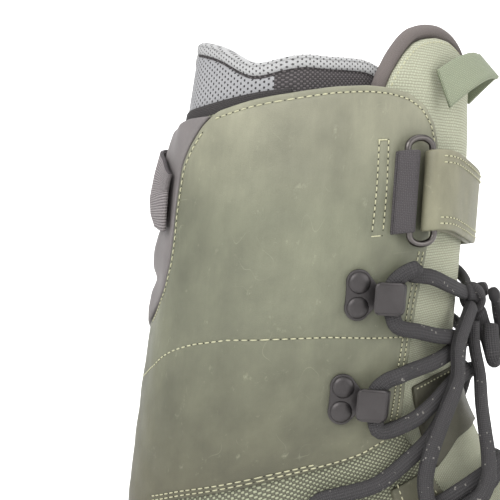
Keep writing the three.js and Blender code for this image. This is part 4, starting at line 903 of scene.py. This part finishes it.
def mirrored(rows, about=0):
    """The same rows on the other side of the front (0) or of the back (-180)."""
    return [[t, 2 * about - deg] for t, deg in rows]


half_outline = TOP_LINE + THROAT
upper_outline = half_outline + mirrored(half_outline[::-1])
upper_outline += [[6, 180], [15.9, 180], [15.9, -180], [6, -180]]
upper = patch("upper_cloth", upper_outline, 0.0, -2.4, CANVAS, scale=UPPER_SCALE, spacing=2.6, edge=0.9)
put(upper, ["upper"])

Q_TOP = [[1.37, -110], [1.3, -98], [1.25, -86], [1.225, -76], [1.22, -64], [1.24, -55], [1.29, -46], [1.39, -38.5],
         [1.55, -33], [1.75, -30.2]]
Q_FRONT = [[2.83, -33], [3.3, -35.8], [3.88, -37.8], [4.59, -41.8], [5.08, -45.3]]
Q_BOTTOM = [[5.28, -52], [5.39, -60], [5.39, -68], [5.36, -77], [5.3, -92], [5.26, -102], [5.21, -114],
            [5.2, -130], [5.4, -148], [5.75, -168]]
Q_REAR = [[5, -171], [4.2, -173], [3.3, -172], [3.12, -150], [3.0, -139], [2.88, -132], [2.66, -128],
          [2.45, -127], [2.2, -127], [2.0, -126], [1.8, -125], [1.63, -121], [1.48, -116]]
HORIZONTAL = [[3.72, -160], [3.62, -142], [3.58, -134], [3.52, -128], [3.46, -120], [3.43, -112], [3.43, -99],
              [3.49, -87], [3.55, -71], [3.64, -55], [3.7, -40.5]]


def inset(rows, amount, scale=SHAFT_SCALE):
    """A path beside an open outline, to the right of its direction."""
    line = np.array(rows, float) * scale
    line = resample(line, 3.0, closed=False)
    d = np.gradient(line, axis=0)
    d /= np.linalg.norm(d, axis=1, keepdims=True)
    line = line + np.stack([d[:, 1], -d[:, 0]], -1) * amount
    return [list(row) for row in line / np.array(scale)]


def flip(lines):
    return [mirrored(line) for line in lines]


# Seams: the box under the strap, the line across, then top, front, bottom and rear
QUARTER_SEAMS = [
    [[1.73, -59.2], [2.13, -59.2], [2.58, -59.5]], [[1.73, -55.4], [2.13, -55.2], [2.58, -55.2]],
    [[1.71, -58.8], [1.71, -55.6]], [[2.6, -59], [2.6, -55.4]], HORIZONTAL,
    inset(Q_TOP, 2.4), inset(Q_FRONT, 2.4), inset(Q_FRONT, 4.9),
    inset(Q_BOTTOM[:-2], 2.2), inset(Q_BOTTOM[3:-2], 4.6), inset(Q_REAR[3:], 2.0),
]
for side, sign in SIDES:
    piece = patch(f"quarter_{side}_leather", Q_TOP + Q_FRONT + Q_BOTTOM + Q_REAR, LEATHER_THICK, 0.0, LEATHER,
                  spacing=1.9, edge=0.9, grooves=QUARTER_SEAMS, mirror=sign > 0, ripple=0.22)
    put(piece, [f"quarter_{side}"])
    thread_lines = flip(QUARTER_SEAMS) if sign > 0 else QUARTER_SEAMS
    put(stitches(f"quarter_{side}_stitches", thread_lines, THREAD_LIFT))

# Padding up the back
PAD_LIFT = [[0, 1.6], [1.35, 1.6], [1.5, 3.6], [1.65, 5], [1.85, 5.4], [2.05, 5.2], [2.15, 4], [2.24, 2.1], [2.34, 4],
            [2.5, 5.4], [2.66, 4.6], [2.77, 1.7], [2.88, 3.8], [3.05, 4.3], [3.25, 2.8], [3.5, 2], [16, 2]]


def pad_grow(t, deg):
    table = np.array(PAD_LIFT)
    fine = np.linspace(0, 16, 3200)
    values = np.interp(fine, table[:, 0], table[:, 1])
    values = np.convolve(np.pad(values, 8, mode="edge"), np.ones(17) / 17, mode="valid")
    lift = np.interp(t, fine, values)
    turn = np.abs((np.asarray(deg) + 180) % 360 - 180)
    return (lift - 2.0) * smooth_step(turn, 128, 160)


rear_half = [[t, deg - 0.8] for t, deg in [[1.4, -112], *Q_REAR[::-1], [5.75, -168]]]
pad_outline = [[1.43, -180], [1.43, -150], [1.42, -135], [1.4, -122]] + rear_half + [[6.1, -162]]
pad_outline += mirrored(pad_outline[::-1], -180)
stay = patch("back_stay_cover", pad_outline, 2.0, 0.0, PAD, spacing=1.9, edge=1.0, grow=pad_grow)
put(stay, ["back_stay"])
THIN_LINE = [[3.35, -174.5], [4.2, -175.5], [5, -174]]
thin = stitches("back_stay_stitches", [THIN_LINE, mirrored(THIN_LINE, -180)], THREAD_LIFT, grow=pad_grow,
                material=THREAD_GREY)
put(thin)


def strip(name, path_pairs, thickness, material, bulge=0.0, steps=9):
    """A flat band from pairs of edge points: rounded edges, with its UV in mm."""
    top = catmull([a for a, _ in path_pairs], 1.3)
    low = catmull([b for _, b in path_pairs], 1.3)
    count = min(len(top), len(low))
    top = np.array([top[int(round(i))] for i in np.linspace(0, len(top) - 1, count)])
    low = np.array([low[int(round(i))] for i in np.linspace(0, len(low) - 1, count)])
    top, low = soften(top, 3, False), soften(low, 3, False)
    tangent = np.gradient((top + low) / 2, axis=0)
    across = low - top
    normal = np.cross(tangent, across)
    normal /= np.linalg.norm(normal, axis=1, keepdims=True)
    width = np.linalg.norm(across, axis=1).mean()
    run = np.concatenate([[0], np.cumsum(np.linalg.norm(np.diff((top + low) / 2, axis=0), axis=1))])
    half = thickness / 2
    shape = [(f, half) for f in np.linspace(0.03, 0.97, steps)] + [(0.992, half * 0.6), (1, 0), (0.992, -half * 0.6)]
    shape += [(f, -half) for f in np.linspace(0.97, 0.03, steps)] + [(0.008, -half * 0.6), (0, 0), (0.008, half * 0.6)]
    rings, uv = [], []
    for k, (f, out) in enumerate(shape):
        swell = bulge * math.sin(math.pi * f) * (1 if out > 0 else 0)
        rings.append(top + across * f + normal * (out + swell))
        uv.append(np.stack([run, np.full(count, f * width)], -1))
    sides = len(shape)
    vertices = np.stack(rings, 1).reshape(-1, 3)
    uvs = np.stack(uv, 1).reshape(-1, 2)
    faces = tube_faces(count, sides)
    faces.append(list(range(sides))[::-1])
    faces.append([(count - 1) * sides + j for j in range(sides)])
    return make_object(name, vertices, faces, material, uvs)


def two_layers(n, m, turned):
    """The index of a point in two layers of n by m points, and the layers' faces."""
    def at(k, i, j):
        return k * n * m + i * m + j
    faces = []
    for k in (0, 1):
        for i in range(n - 1):
            for j in range(m - 1):
                quad = [at(k, i, j), at(k, i + 1, j), at(k, i + 1, j + 1), at(k, i, j + 1)]
                faces.append(quad[::-1] if k == turned else quad)
    return at, faces


def rear_band():
    """Webbing band that stands off the back pad."""
    vertices, uvs = [], []
    turns = np.linspace(-50, 50, 61)
    levels = np.linspace(0, 1, 22)
    thick = 1.8
    for inner in (0, 1):
        for turn in turns:
            deg = -180 - turn if turn < 0 else 180 - turn
            bulge = math.cos(math.pi / 2 * turn / 50)
            t0, t2 = 1.85 + (1.55 - 1.85) * bulge, 2.35 + (2.25 - 2.35) * bulge
            ts = np.interp(levels, [0, 0.55, 1], [t0, 2.0, t2])
            mid = 4.6 + (9 - 4.6) * bulge
            l0, l2 = 3.6 + (6.7 - 3.6) * bulge, 4.2 + (4.6 - 4.2) * bulge
            lifts = np.interp(levels, [0, 0.25, 0.55, 0.8, 1],
                              [l0, l0 * 0.35 + mid * 0.65, mid, mid * 0.7 + l2 * 0.3, l2])
            vertices.extend(form(ts, deg, lifts + (thick if not inner else 0)))
            uvs.extend([[turn * 1.05, level * 30] for level in levels])
    n, m = len(turns), len(levels)
    at, faces = two_layers(n, m, turned=0)
    for i in range(n - 1):
        faces.append([at(0, i, 0), at(0, i + 1, 0), at(1, i + 1, 0), at(1, i, 0)])
        faces.append([at(0, i, m - 1), at(1, i, m - 1), at(1, i + 1, m - 1), at(0, i + 1, m - 1)])
    for j in range(m - 1):
        faces.append([at(0, 0, j), at(1, 0, j), at(1, 0, j + 1), at(0, 0, j + 1)])
        faces.append([at(0, n - 1, j), at(0, n - 1, j + 1), at(1, n - 1, j + 1), at(1, n - 1, j)])
    return make_object("rear_webbing_ribs", vertices, faces, WEBBING, uvs)


put(rear_band(), ["rear_webbing"])

# Toe cap, heel counter and eyestay
TOE_LINE = [[13.15, 0], [13.2, -35], [13.35, -65], [13.6, -95], [13.75, -128]]
toe_outline = [[13.75, -128]] + TOE_LINE[::-1][1:] + mirrored(TOE_LINE[1:])
toe_outline += [[15.2, 118], [15.85, 105], [15.85, -105], [15.2, -118]]
toe = patch("toe_cap_leather", toe_outline, LEATHER_THICK, 0.0, LEATHER, scale=TOE_SCALE, spacing=2.2, edge=0.9,
            grooves=[inset(TOE_LINE[:-1], -2.4, TOE_SCALE)])
put(toe, ["toe_cap"])


def toe_tip():
    """The blunt end of the toe cap, where the form's dome closes."""
    stations = 16 - 0.17 * (1 - np.linspace(0, 0.985, 12)) ** 2
    degrees = np.linspace(-112, 112, 65)
    vertices, uvs = [], []
    for grow in (LEATHER_THICK, 0.3):
        for t in stations:
            points = form(t, degrees, grow)
            vertices.extend(points)
            uvs.extend([[p[1], p[2]] for p in points])
    n, m = len(stations), len(degrees)
    at, faces = two_layers(n, m, turned=1)
    for k in (0, 1):
        end = [at(k, n - 1, j) for j in range(m)]
        faces.append(end if k else end[::-1])
    for j in range(m - 1):
        faces.append([at(0, 0, j), at(0, 0, j + 1), at(1, 0, j + 1), at(1, 0, j)])
    for i in range(n - 1):
        faces.append([at(0, i, 0), at(1, i, 0), at(1, i + 1, 0), at(0, i + 1, 0)])
        faces.append([at(0, i, m - 1), at(0, i + 1, m - 1), at(1, i + 1, m - 1), at(1, i, m - 1)])
    faces.append([at(0, n - 1, 0), at(1, n - 1, 0), at(1, n - 1, m - 1), at(0, n - 1, m - 1)])
    return make_object("toe_cap_tip", vertices, faces, LEATHER, uvs)


put(toe_tip())
toe_rows = [[[t + 0.13, d] for t, d in TOE_LINE[:-1]], [[t + 0.27, d] for t, d in TOE_LINE[:-1]]]
put(stitches("toe_cap_stitches", toe_rows + flip(toe_rows), THREAD_LIFT, scale=TOE_SCALE))
HEEL_LINE = [[6.1, -180], [6.12, -170], [6.2, -160], [6.6, -146], [7.2, -130], [7.8, -118], [8.3, -112], [8.6, -118],
             [8.7, -126]]
heel_half = HEEL_LINE[1:] + [[7.6, -140], [7.0, -158]]
heel_outline = HEEL_LINE[:1] + heel_half + [[6.85, -180]] + mirrored(heel_half[::-1], -180)
heel = patch("heel_counter_leather", heel_outline, LEATHER_THICK, 0.0, LEATHER, scale=HEEL_SCALE, spacing=2.2, edge=0.9)
put(heel, ["heel_counter"])
heel_rows = [[[t + 0.07, d] for t, d in HEEL_LINE[:6]]]
put(stitches("heel_counter_stitches", heel_rows + [mirrored(heel_rows[0], -180)], THREAD_LIFT,
             scale=HEEL_SCALE))
EYE_OUTER = [[6.35, -54], [7, -53.5], [8, -51], [9, -48], [10, -44], [11, -38], [11.8, -30], [12.4, -19], [12.65, 0]]
EYE_INNER = [[6.3, -39.5], [7, -37.5], [8, -34.5], [9, -31.5], [10, -28.5], [11, -24.5], [11.65, -19], [12.0, -11.5],
             [12.12, 0]]
eye_outline = EYE_OUTER + mirrored(EYE_OUTER[::-1][1:]) + mirrored(EYE_INNER) + EYE_INNER[::-1][1:]
eye = patch("eyestay_leather", eye_outline, LEATHER_THICK, 0.0, LEATHER, scale=EYE_SCALE, spacing=2.0, edge=0.8, soft=1)
put(eye, ["eyestay"])
eye_rows = [[[t - 0.02, d + 2.4] for t, d in EYE_OUTER[:-1]], [[t, d - 2.2] for t, d in EYE_INNER[:-2]]]
put(stitches("eyestay_stitches", eye_rows + flip(eye_rows), THREAD_LIFT, scale=EYE_SCALE))

# Tongue, its rolled edge, its patch and its pull loop
TONGUE_RIM = [[1.75, -59], [1.45, -58.5], [1.2, -56.5], [1.0, -51.5], [0.81, -44], [0.68, -36], [0.615, -28],
              [0.57, -18], [0.565, -8], [0.63, 2], [0.74, 13], [0.9, 26], [1.08, 40], [1.3, 51], [1.5, 57], [1.75, 59]]
TONGUE_SIDE = [[1.75, -60], [2.4, -60], [4, -60], [6, -58], [8, -52], [10, -46], [11.4, -38], [12.2, -22], [12.5, 0]]
RIM_DEPTH = -5.85
RIM_FRONT = [[-36, 0], [-28, 0.3], [-18, 1.2], [-8, 2.8], [2, 4.6], [13, 5.2], [26, 4.4], [40, 2], [51, 0]]


def tongue_grow(t, deg):
    between = 1 - smooth_step(np.abs(deg), 5, 22)
    reach = smooth_step(t, 0.9, 1.4) * (1 - smooth_step(t, 8.5, 10.5))
    front = np.interp(deg, *np.array(RIM_FRONT).T) * (1 - smooth_step(t, 0.9, 1.4))
    return 3.5 * between * reach + front


rim_in = [[t + 0.075, d * 0.985] for t, d in TONGUE_RIM[1:-1]]
tongue_outline = rim_in + mirrored(TONGUE_SIDE) + TONGUE_SIDE[::-1][1:]
tongue = patch("tongue_canvas", tongue_outline, -2.7, -8.7, CANVAS_TONGUE, spacing=2.2, edge=1.2, grow=tongue_grow,
               scale=TONGUE_SCALE)
put(tongue, ["tongue"])
rim_degrees = np.array(TONGUE_RIM)[:, 1]
rim_points = form(np.array(TONGUE_RIM)[:, 0], rim_degrees, RIM_DEPTH + np.interp(rim_degrees, *np.array(RIM_FRONT).T))
rim_path = catmull(rim_points, 1.6)
rim_normals = np.tile([0.6, 0.0, 0.8], (len(rim_path), 1))
piping = sweep("tongue_piping_roll", rim_path, rim_normals, 6.2, 6.2, PIPING, sides=16, power=2.0)
put(piping, ["tongue_piping"])
rim_seam = [[t + 0.12, d * 0.97] for t, d in TONGUE_RIM[1:-1]]
put(stitches("tongue_edge_stitches", [rim_seam], -2.75, grow=tongue_grow, scale=TONGUE_SCALE))
PATCH = [[4.45, -34], [4.38, -17], [4.32, 0], [4.38, 17], [4.45, 34], [5.4, 34.5], [6.4, 34], [5.95, 17], [5.8, 0],
         [5.95, -17], [6.4, -34], [5.4, -34.5]]
tongue_patch = patch("tongue_patch_leather", PATCH, -0.9, -2.5, LEATHER_DARK, edge=0.8, grow=tongue_grow)
put(tongue_patch, ["tongue_patch"])
patch_seam = [[4.5, -32], [4.44, -17], [4.38, 0], [4.44, 17], [4.5, 32]]
put(stitches("tongue_patch_stitches", [patch_seam], -0.95, grow=tongue_grow))
foot = form(1.22, -30, -2.3)
front = form(1.0, 0, 13)
pairs = []
LOOP_TURN = 75
for turn in range(-LOOP_TURN, LOOP_TURN + 1, 15):
    angle, end = math.radians(turn), math.radians(LOOP_TURN)
    along = (math.cos(angle) - math.cos(end)) / (1 - math.cos(end))
    x, y = foot[0] + (front[0] - foot[0]) * along, -foot[1] * math.sin(angle) / math.sin(end)
    z = foot[2] + 16 * along
    z += 10 * max(math.sin(angle), 0)
    pairs.append((np.array([x + 2.5 - 8.5 * along, y, z + 8 - 5 * along]), np.array([x + 8 - 5 * along, y, z - 8])))
put(strip("tongue_pull_loop_webbing", pairs, 1.8, PULL), ["tongue_pull_loop"])

# Liner: mesh outside, knit toward the front, light rolled rim
L_TOP = [[0.76, -180], [0.74, -170], [0.7, -157], [0.67, -148], [0.66, -140], [0.66, -130], [0.7, -122],
         [0.77, -114], [0.86, -108], [0.97, -101], [0.97, -96], [0.92, -91], [0.89, -86], [0.92, -80], [0.93, -70],
         [0.95, -60], [1.06, -50], [1.12, -30], [1.12, 0]]


def liner_grow(t, deg):
    behind = 1 - smooth_step(np.abs(deg), 66, 100)
    along = 1 - smooth_step(t, 12.3, 13.5)
    return -6.3 * behind * along


def liner_piece():
    """Outside from below up, over the rolled rim, and down the inside."""
    degs = np.linspace(-180, 180, 241)
    half = np.array(sorted([[d, t] for t, d in L_TOP]))
    rim = np.interp(-np.abs(degs), half[:, 0], half[:, 1])
    rim = soften(rim[:, None], 6, False)[:, 0]
    vertices, uvs, shade, faces = [], [], [], []
    levels = [("out", 6.0), ("out", 4.0)] + [("out", x) for x in np.linspace(2.6, 0.34, 16)] + \
        [("out", x) for x in np.linspace(0.3, 0.02, 20)] + \
        [("roll", a) for a in np.linspace(0, 180, 9)] + [("in", x) for x in np.linspace(0.18, 8, 18)]
    wall = 8.0
    for kind, value in levels:
        if kind == "out":
            roll = 0.5 * math.exp(-((value - 0.05) / 0.05) ** 2) - 1.5 * math.exp(-((value - 0.125) / 0.016) ** 2)
            t, g = rim + value, -2.7 + roll
        elif kind == "roll":
            a = math.radians(value)
            t, g = rim + 0.02 - 0.05 * math.sin(a), -2.3 - wall / 2 + wall / 2 * math.cos(a)
        else:
            t, g = rim + value, -2.7 - wall
        vertices.extend(form(np.clip(t, 0.0, 14), degs, g + liner_grow(t, degs)))
        uvs.extend(np.stack([degs, t * 41], -1))
        zone = kind
        # Painted shade: the narrow band just under the rolled rim, over the groove, takes the dark knit as the groove's
        # shadow
        if kind == "out" and value <= 0.14:
            zone = "line" if value > 0.11 else "rim"
        shade.append(zone)
    n, m = len(levels), len(degs)
    marks = []
    for i in range(n - 1):
        for j in range(m - 1):
            faces.append([i * m + j, i * m + j + 1, (i + 1) * m + j + 1, (i + 1) * m + j])
            fall = min(max((324 - vertices[i * m + j][2]) / 14, 0.0), 1.0)
            front_knit = abs(degs[j]) < 84 + 10 * fall
            if shade[i] in ("rim", "roll"):
                marks.append(2)
            else:
                marks.append(1 if shade[i] in ("in", "line") or front_knit else 0)
    return make_object("liner_cloth", vertices, faces, [MESH, KNIT, RIM], uvs, True, marks)


liner = liner_piece()
put(liner, ["liner"])

# Dark collar band between the leather and the liner, widest at the rear corner
band_degrees = np.linspace(-178, -84, 60)
band_top = np.interp(band_degrees, [-178, -150, -140, -130, -120, -112, -102, -92, -84],
                     [1.39, 1.37, 1.35, 1.32, 1.3, 1.275, 1.24, 1.21, 1.21])
band_low = np.interp(band_degrees, [-178, -150, -132, -112, -84], [1.5, 1.5, 1.48, 1.44, 1.36])
for side, sign in SIDES:
    top_points = form(band_top, -sign * band_degrees, -1.7)
    low_points = form(band_low, -sign * band_degrees, -1.2)
    put(strip(f"collar_band_{side}", list(zip(top_points[::4], low_points[::4])), 1.4, COLLAR_PAD, bulge=0.5))

# Strap with its ring and tab
STRAP_PATH = [[52, 3.6], [44, 3.7], [36, 3.7], [25, 3.7], [12, 3.6], [0, 3.6], [-12, 3.6], [-24, 3.6], [-33, 3.4],
              [-37, 3.4], [-39.6, 4.5], [-40.3, 6.3], [-39.6, 8.2], [-37, 9.6], [-33, 9.7], [-26, 8.5], [-18, 6.7],
              [-9, 6.2], [3, 6.1], [14, 6.1], [24, 6.1]]
TAB_PATH = [[-52.5, 3], [-49, 3], [-46.6, 3], [-44.6, 3.6], [-44, 5.4], [-44.6, 7.1], [-46.6, 7.9], [-49, 7.9],
            [-51, 6.7], [-52.5, 5]]


def round_pairs(rows, top=0.0, low=0.0):
    """Edge points of a band round the shaft, which may run lower toward the front."""
    return [(form(1.82 + top * smooth_step(d, -37, 8), d, lift), form(2.6 + low * smooth_step(d, -37, 8), d, lift))
            for d, lift in rows]


put(strip("strap_leather", round_pairs(STRAP_PATH, 0.15, 0.18), 2.0, LEATHER_STRAP), ["strap"])
put(strip("ring_tab_webbing", round_pairs(TAB_PATH), 1.3, RING_WEBBING), ["ring_tab"])


def strap_lift(_, deg):
    """How far the strap's outer run lies off the form."""
    table = np.array(sorted(STRAP_PATH[14:]))
    return np.interp(deg, table[:, 0], table[:, 1])


strap_rows = [[[t + drop * smooth_step(d, -37, 8), d] for d in np.linspace(-35, 23, 24)]
              for t, drop in ((1.885, 0.15), (1.945, 0.152), (2.475, 0.177), (2.535, 0.18))]
put(stitches("strap_stitches", strap_rows, 1.0, grow=strap_lift, pitch=2.6))


def ring_path():
    """The oval ring's middle line, and the normal of its plane."""
    ends = [[form(1.82, d, lift), form(2.6, d, lift)] for d, lift in ((-36.4, 6.25), (-47.6, 5.4))]
    front_mid, rear_mid = ((a + b) / 2 for a, b in ends)
    centre = (front_mid + rear_mid) / 2
    across = (front_mid - rear_mid) / np.linalg.norm(front_mid - rear_mid)
    rise = ends[0][0] - ends[0][1]
    up = rise - across * rise.dot(across)
    up /= np.linalg.norm(up)
    wire, corner = 1.25, 4
    radius, straight = 13.9 / 2 - wire, 45.8 / 2 - wire - corner
    pts = []
    for end in (1, -1):
        for step in range(13):
            angle = math.pi * step / 12 + (0 if end > 0 else math.pi)
            pts.append(centre + across * radius * math.cos(angle) + up * (end * straight + corner * math.sin(angle)))
    return np.array(pts), np.cross(across, up)


ring_points, ring_normal = ring_path()
loop_path = resample(ring_points, 1.0)
loop_path = np.vstack([loop_path, loop_path[:2]])
put(sweep("strap_ring_wire", loop_path, np.tile(ring_normal, (len(loop_path), 1)), 2.8, 2.8, RING_METAL, sides=14,
          power=2.0, caps=False), ["strap_ring"])


# Lace hooks

def only(obj):
    bpy.ops.object.select_all(action="DESELECT")
    bpy.context.view_layer.objects.active = obj
    obj.select_set(True)


def turn_outward(obj):
    """Makes all the normals of a piece face outward."""
    only(obj)
    bpy.ops.object.mode_set(mode="EDIT")
    bpy.ops.mesh.select_all(action="SELECT")
    bpy.ops.mesh.normals_make_consistent(inside=False)
    bpy.ops.object.mode_set(mode="OBJECT")


def prism(outline, z0, z1, bevel, place, name):
    """A solid from an outline, with rounded edges, put through place(x, y, z)."""
    n = len(outline)
    points = [(x, y, z) for z in (z0, z1) for x, y in outline]
    faces = [list(range(n))[::-1], [n + i for i in range(n)]]
    faces += [[i, (i + 1) % n, n + (i + 1) % n, n + i] for i in range(n)]
    obj = make_object(name, [place(*q) for q in points], faces, HOOK_METAL)
    modifier = obj.modifiers.new("bevel", "BEVEL")
    modifier.width = bevel * MM
    modifier.segments = 3
    modifier.limit_method = "ANGLE"
    modifier.angle_limit = math.radians(50)
    turn_outward(obj)
    bpy.ops.object.modifier_apply(modifier=modifier.name)
    bpy.ops.object.shade_smooth_by_angle(angle=math.radians(40))
    return obj


def arc(cx, cy, r, a0, a1, count):
    return [(cx + r * math.cos(a), cy + r * math.sin(a)) for a in np.linspace(a0, a1, count)]


def make_hook(name, place):
    """A lace hook: riveted plate, rounded cap with a raised face, two rivets."""
    rivet_x, half = -6.65, 6.7
    plate = arc(rivet_x, 5.2, 5.5, math.pi * 0.3, math.pi * 1.1, 14)
    plate += arc(rivet_x, -5.2, 5.5, math.pi * 0.9, math.pi * 1.7, 14)
    plate += [(0.5, -5.0), (3.0, -4.9), (13.35, -4.9), (13.35, 4.9), (3.0, 4.9), (0.5, 5.0)]
    parts = [prism(plate, 0, 1.6, 0.35, place, "plate")]
    profile = [(10.0, 0.2), (11.8, 0.2), (12.3, 2.0), (12.4, 3.5), (12.2, 5.4), (11.5, 7.3), (10.4, 8.3), (9.0, 8.75),
               (0.6, 8.8), (-0.9, 8.5), (-1.55, 7.8), (-1.4, 7.1), (0.0, 7.0), (8.0, 7.0), (9.4, 6.5), (10.0, 5.2)]
    slices = [(-half, 1.9), (-6.3, 0.95), (-5.6, 0.4), (-4.4, 0), (4.4, 0), (5.6, 0.4), (6.3, 0.95), (half, 1.9)]
    count = len(profile)
    vertices = [place(x + (5.4 - x) / 7 * pull, y, z) for y, pull in slices for x, z in profile]
    faces = [list(range(count)), [(len(slices) - 1) * count + j for j in range(count)][::-1]]
    faces += [[i * count + j, (i + 1) * count + j, (i + 1) * count + (j + 1) % count, i * count + (j + 1) % count]
              for i in range(len(slices) - 1) for j in range(count)]
    parts.append(make_object("cap", vertices, faces, HOOK_METAL))
    only(parts[-1])
    bpy.ops.object.shade_smooth_by_angle(angle=math.radians(40))
    rim = [(x + sx * 4.6, sy * 4.7 + y) for sx, sy, a in ((1, 1, 0), (-1, 1, 1), (-1, -1, 2), (1, -1, 3))
           for x, y in arc(4.4, 0, 1.1, a * math.pi / 2, (a + 1) * math.pi / 2, 5)]
    parts.append(prism(rim, 8.6, 9.15, 0.3, place, "face"))
    for y0 in (-5.2, 5.2):
        rings = [(4.6, 1.5), (4.6, 1.9), (4.25, 2.35), (3.4, 2.8), (2.3, 3.05), (1.1, 3.15)]
        sides = 28
        vertices = [place(rivet_x + r * math.cos(a), y0 + r * math.sin(a), z) for r, z in rings
                    for a in np.linspace(0, 2 * math.pi, sides, endpoint=False)]
        faces = tube_faces(len(rings), sides)
        faces.append([(len(rings) - 1) * sides + j for j in range(sides)])
        parts.append(make_object("rivet", vertices, faces, HOOK_METAL))
    obj = join(name, parts)
    turn_outward(obj)
    return obj


def make_loop(name, place):
    """A closed webbing loop for the lace."""
    centre = np.array([(-6.0, 0.65), (0, 0.65), (6.0, 0.65), (5.2, 3.2), (4.5, 6.2), (2.6, 7.3), (0, 7.4), (-2.6, 7.3),
                       (-4.5, 6.2), (-5.2, 3.2), (-6.0, 0.65)])
    line = resample(centre, 0.8, closed=False)
    pts = [(place(x, 4.5, z), place(x, -4.5, z)) for x, z in line]
    return strip(name, pts, 1.3, RING_WEBBING)


for side, sign in SIDES:
    for hook_name, hook_spot in HOOKS.items():
        node = f"hook_{hook_name}_{side}"
        put(make_hook(node + "_metal", placer(hook_spot, sign)), [node])
    for loop_name, loop_spot in LOOPS.items():
        node = f"lace_loop_{loop_name}_{side}"
        put(make_loop(node + "_webbing", placer(loop_spot, sign)), [node])

# The sole and the footbed keep their CAD shape
for node, material in (("outsole", RUBBER), ("midsole", FOAM), ("footbed", FOOTBED)):
    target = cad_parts[node]
    for material_slot in target.material_slots:
        material_slot.link = "OBJECT"
        material_slot.material = material

# Floor, backdrop and light
vertices, faces = [], []
curve = [(1.5 + math.sin(a), 1.0 - math.cos(a)) for a in np.linspace(0.15, math.pi / 2, 10)]
profile = [(-4.0, 0.0), (1.5, 0.0)] + curve + [(2.5, 5.0)]
turn = Matrix.Rotation(AZIMUTH, 3, "Z")
for distance, height in profile:
    for x in (-5.0, 5.0):
        vertices.append(np.array(turn @ Vector((x, distance, height))) / MM)
for i in range(len(profile) - 1):
    faces.append([2 * i, 2 * i + 1, 2 * i + 3, 2 * i + 2])
floor = make_object("floor", vertices, faces, plain("floor_paper", (0.97, 0.97, 0.97), 0.9, vary=0.01, depth=0.00001))

world = bpy.data.worlds.new("world")
bpy.context.scene.world = world
world.use_nodes = True
world.node_tree.nodes["Background"].inputs[0].default_value = (1, 1, 1, 1)
world.node_tree.nodes["Background"].inputs[1].default_value = 1.0


def light(name, offset, size, power, target=(0.03, 0, 0.2)):
    """A square light, placed as seen from the camera's side."""
    data = bpy.data.lights.new(name, "AREA")
    data.shape = "SQUARE"
    data.size = size
    data.energy = power
    obj = bpy.data.objects.new(name, data)
    obj.location = turn @ Vector(offset) + Vector((0.03, 0, 0))
    obj.rotation_euler = (Vector(target) - obj.location).to_track_quat("-Z", "Y").to_euler()
    bpy.context.collection.objects.link(obj)


light("key", (-0.7, -1.0, 0.95), 0.8, 13)
light("backdrop", (0.0, 0.9, 1.6), 2.5, 60, (0, 2.5, 1.0))
light("fill", (1.1, -0.9, 0.6), 1.0, 7)
light("top", (0.0, 0.1, 1.5), 1.2, 8)

bpy.context.scene.view_settings.view_transform = "Standard"
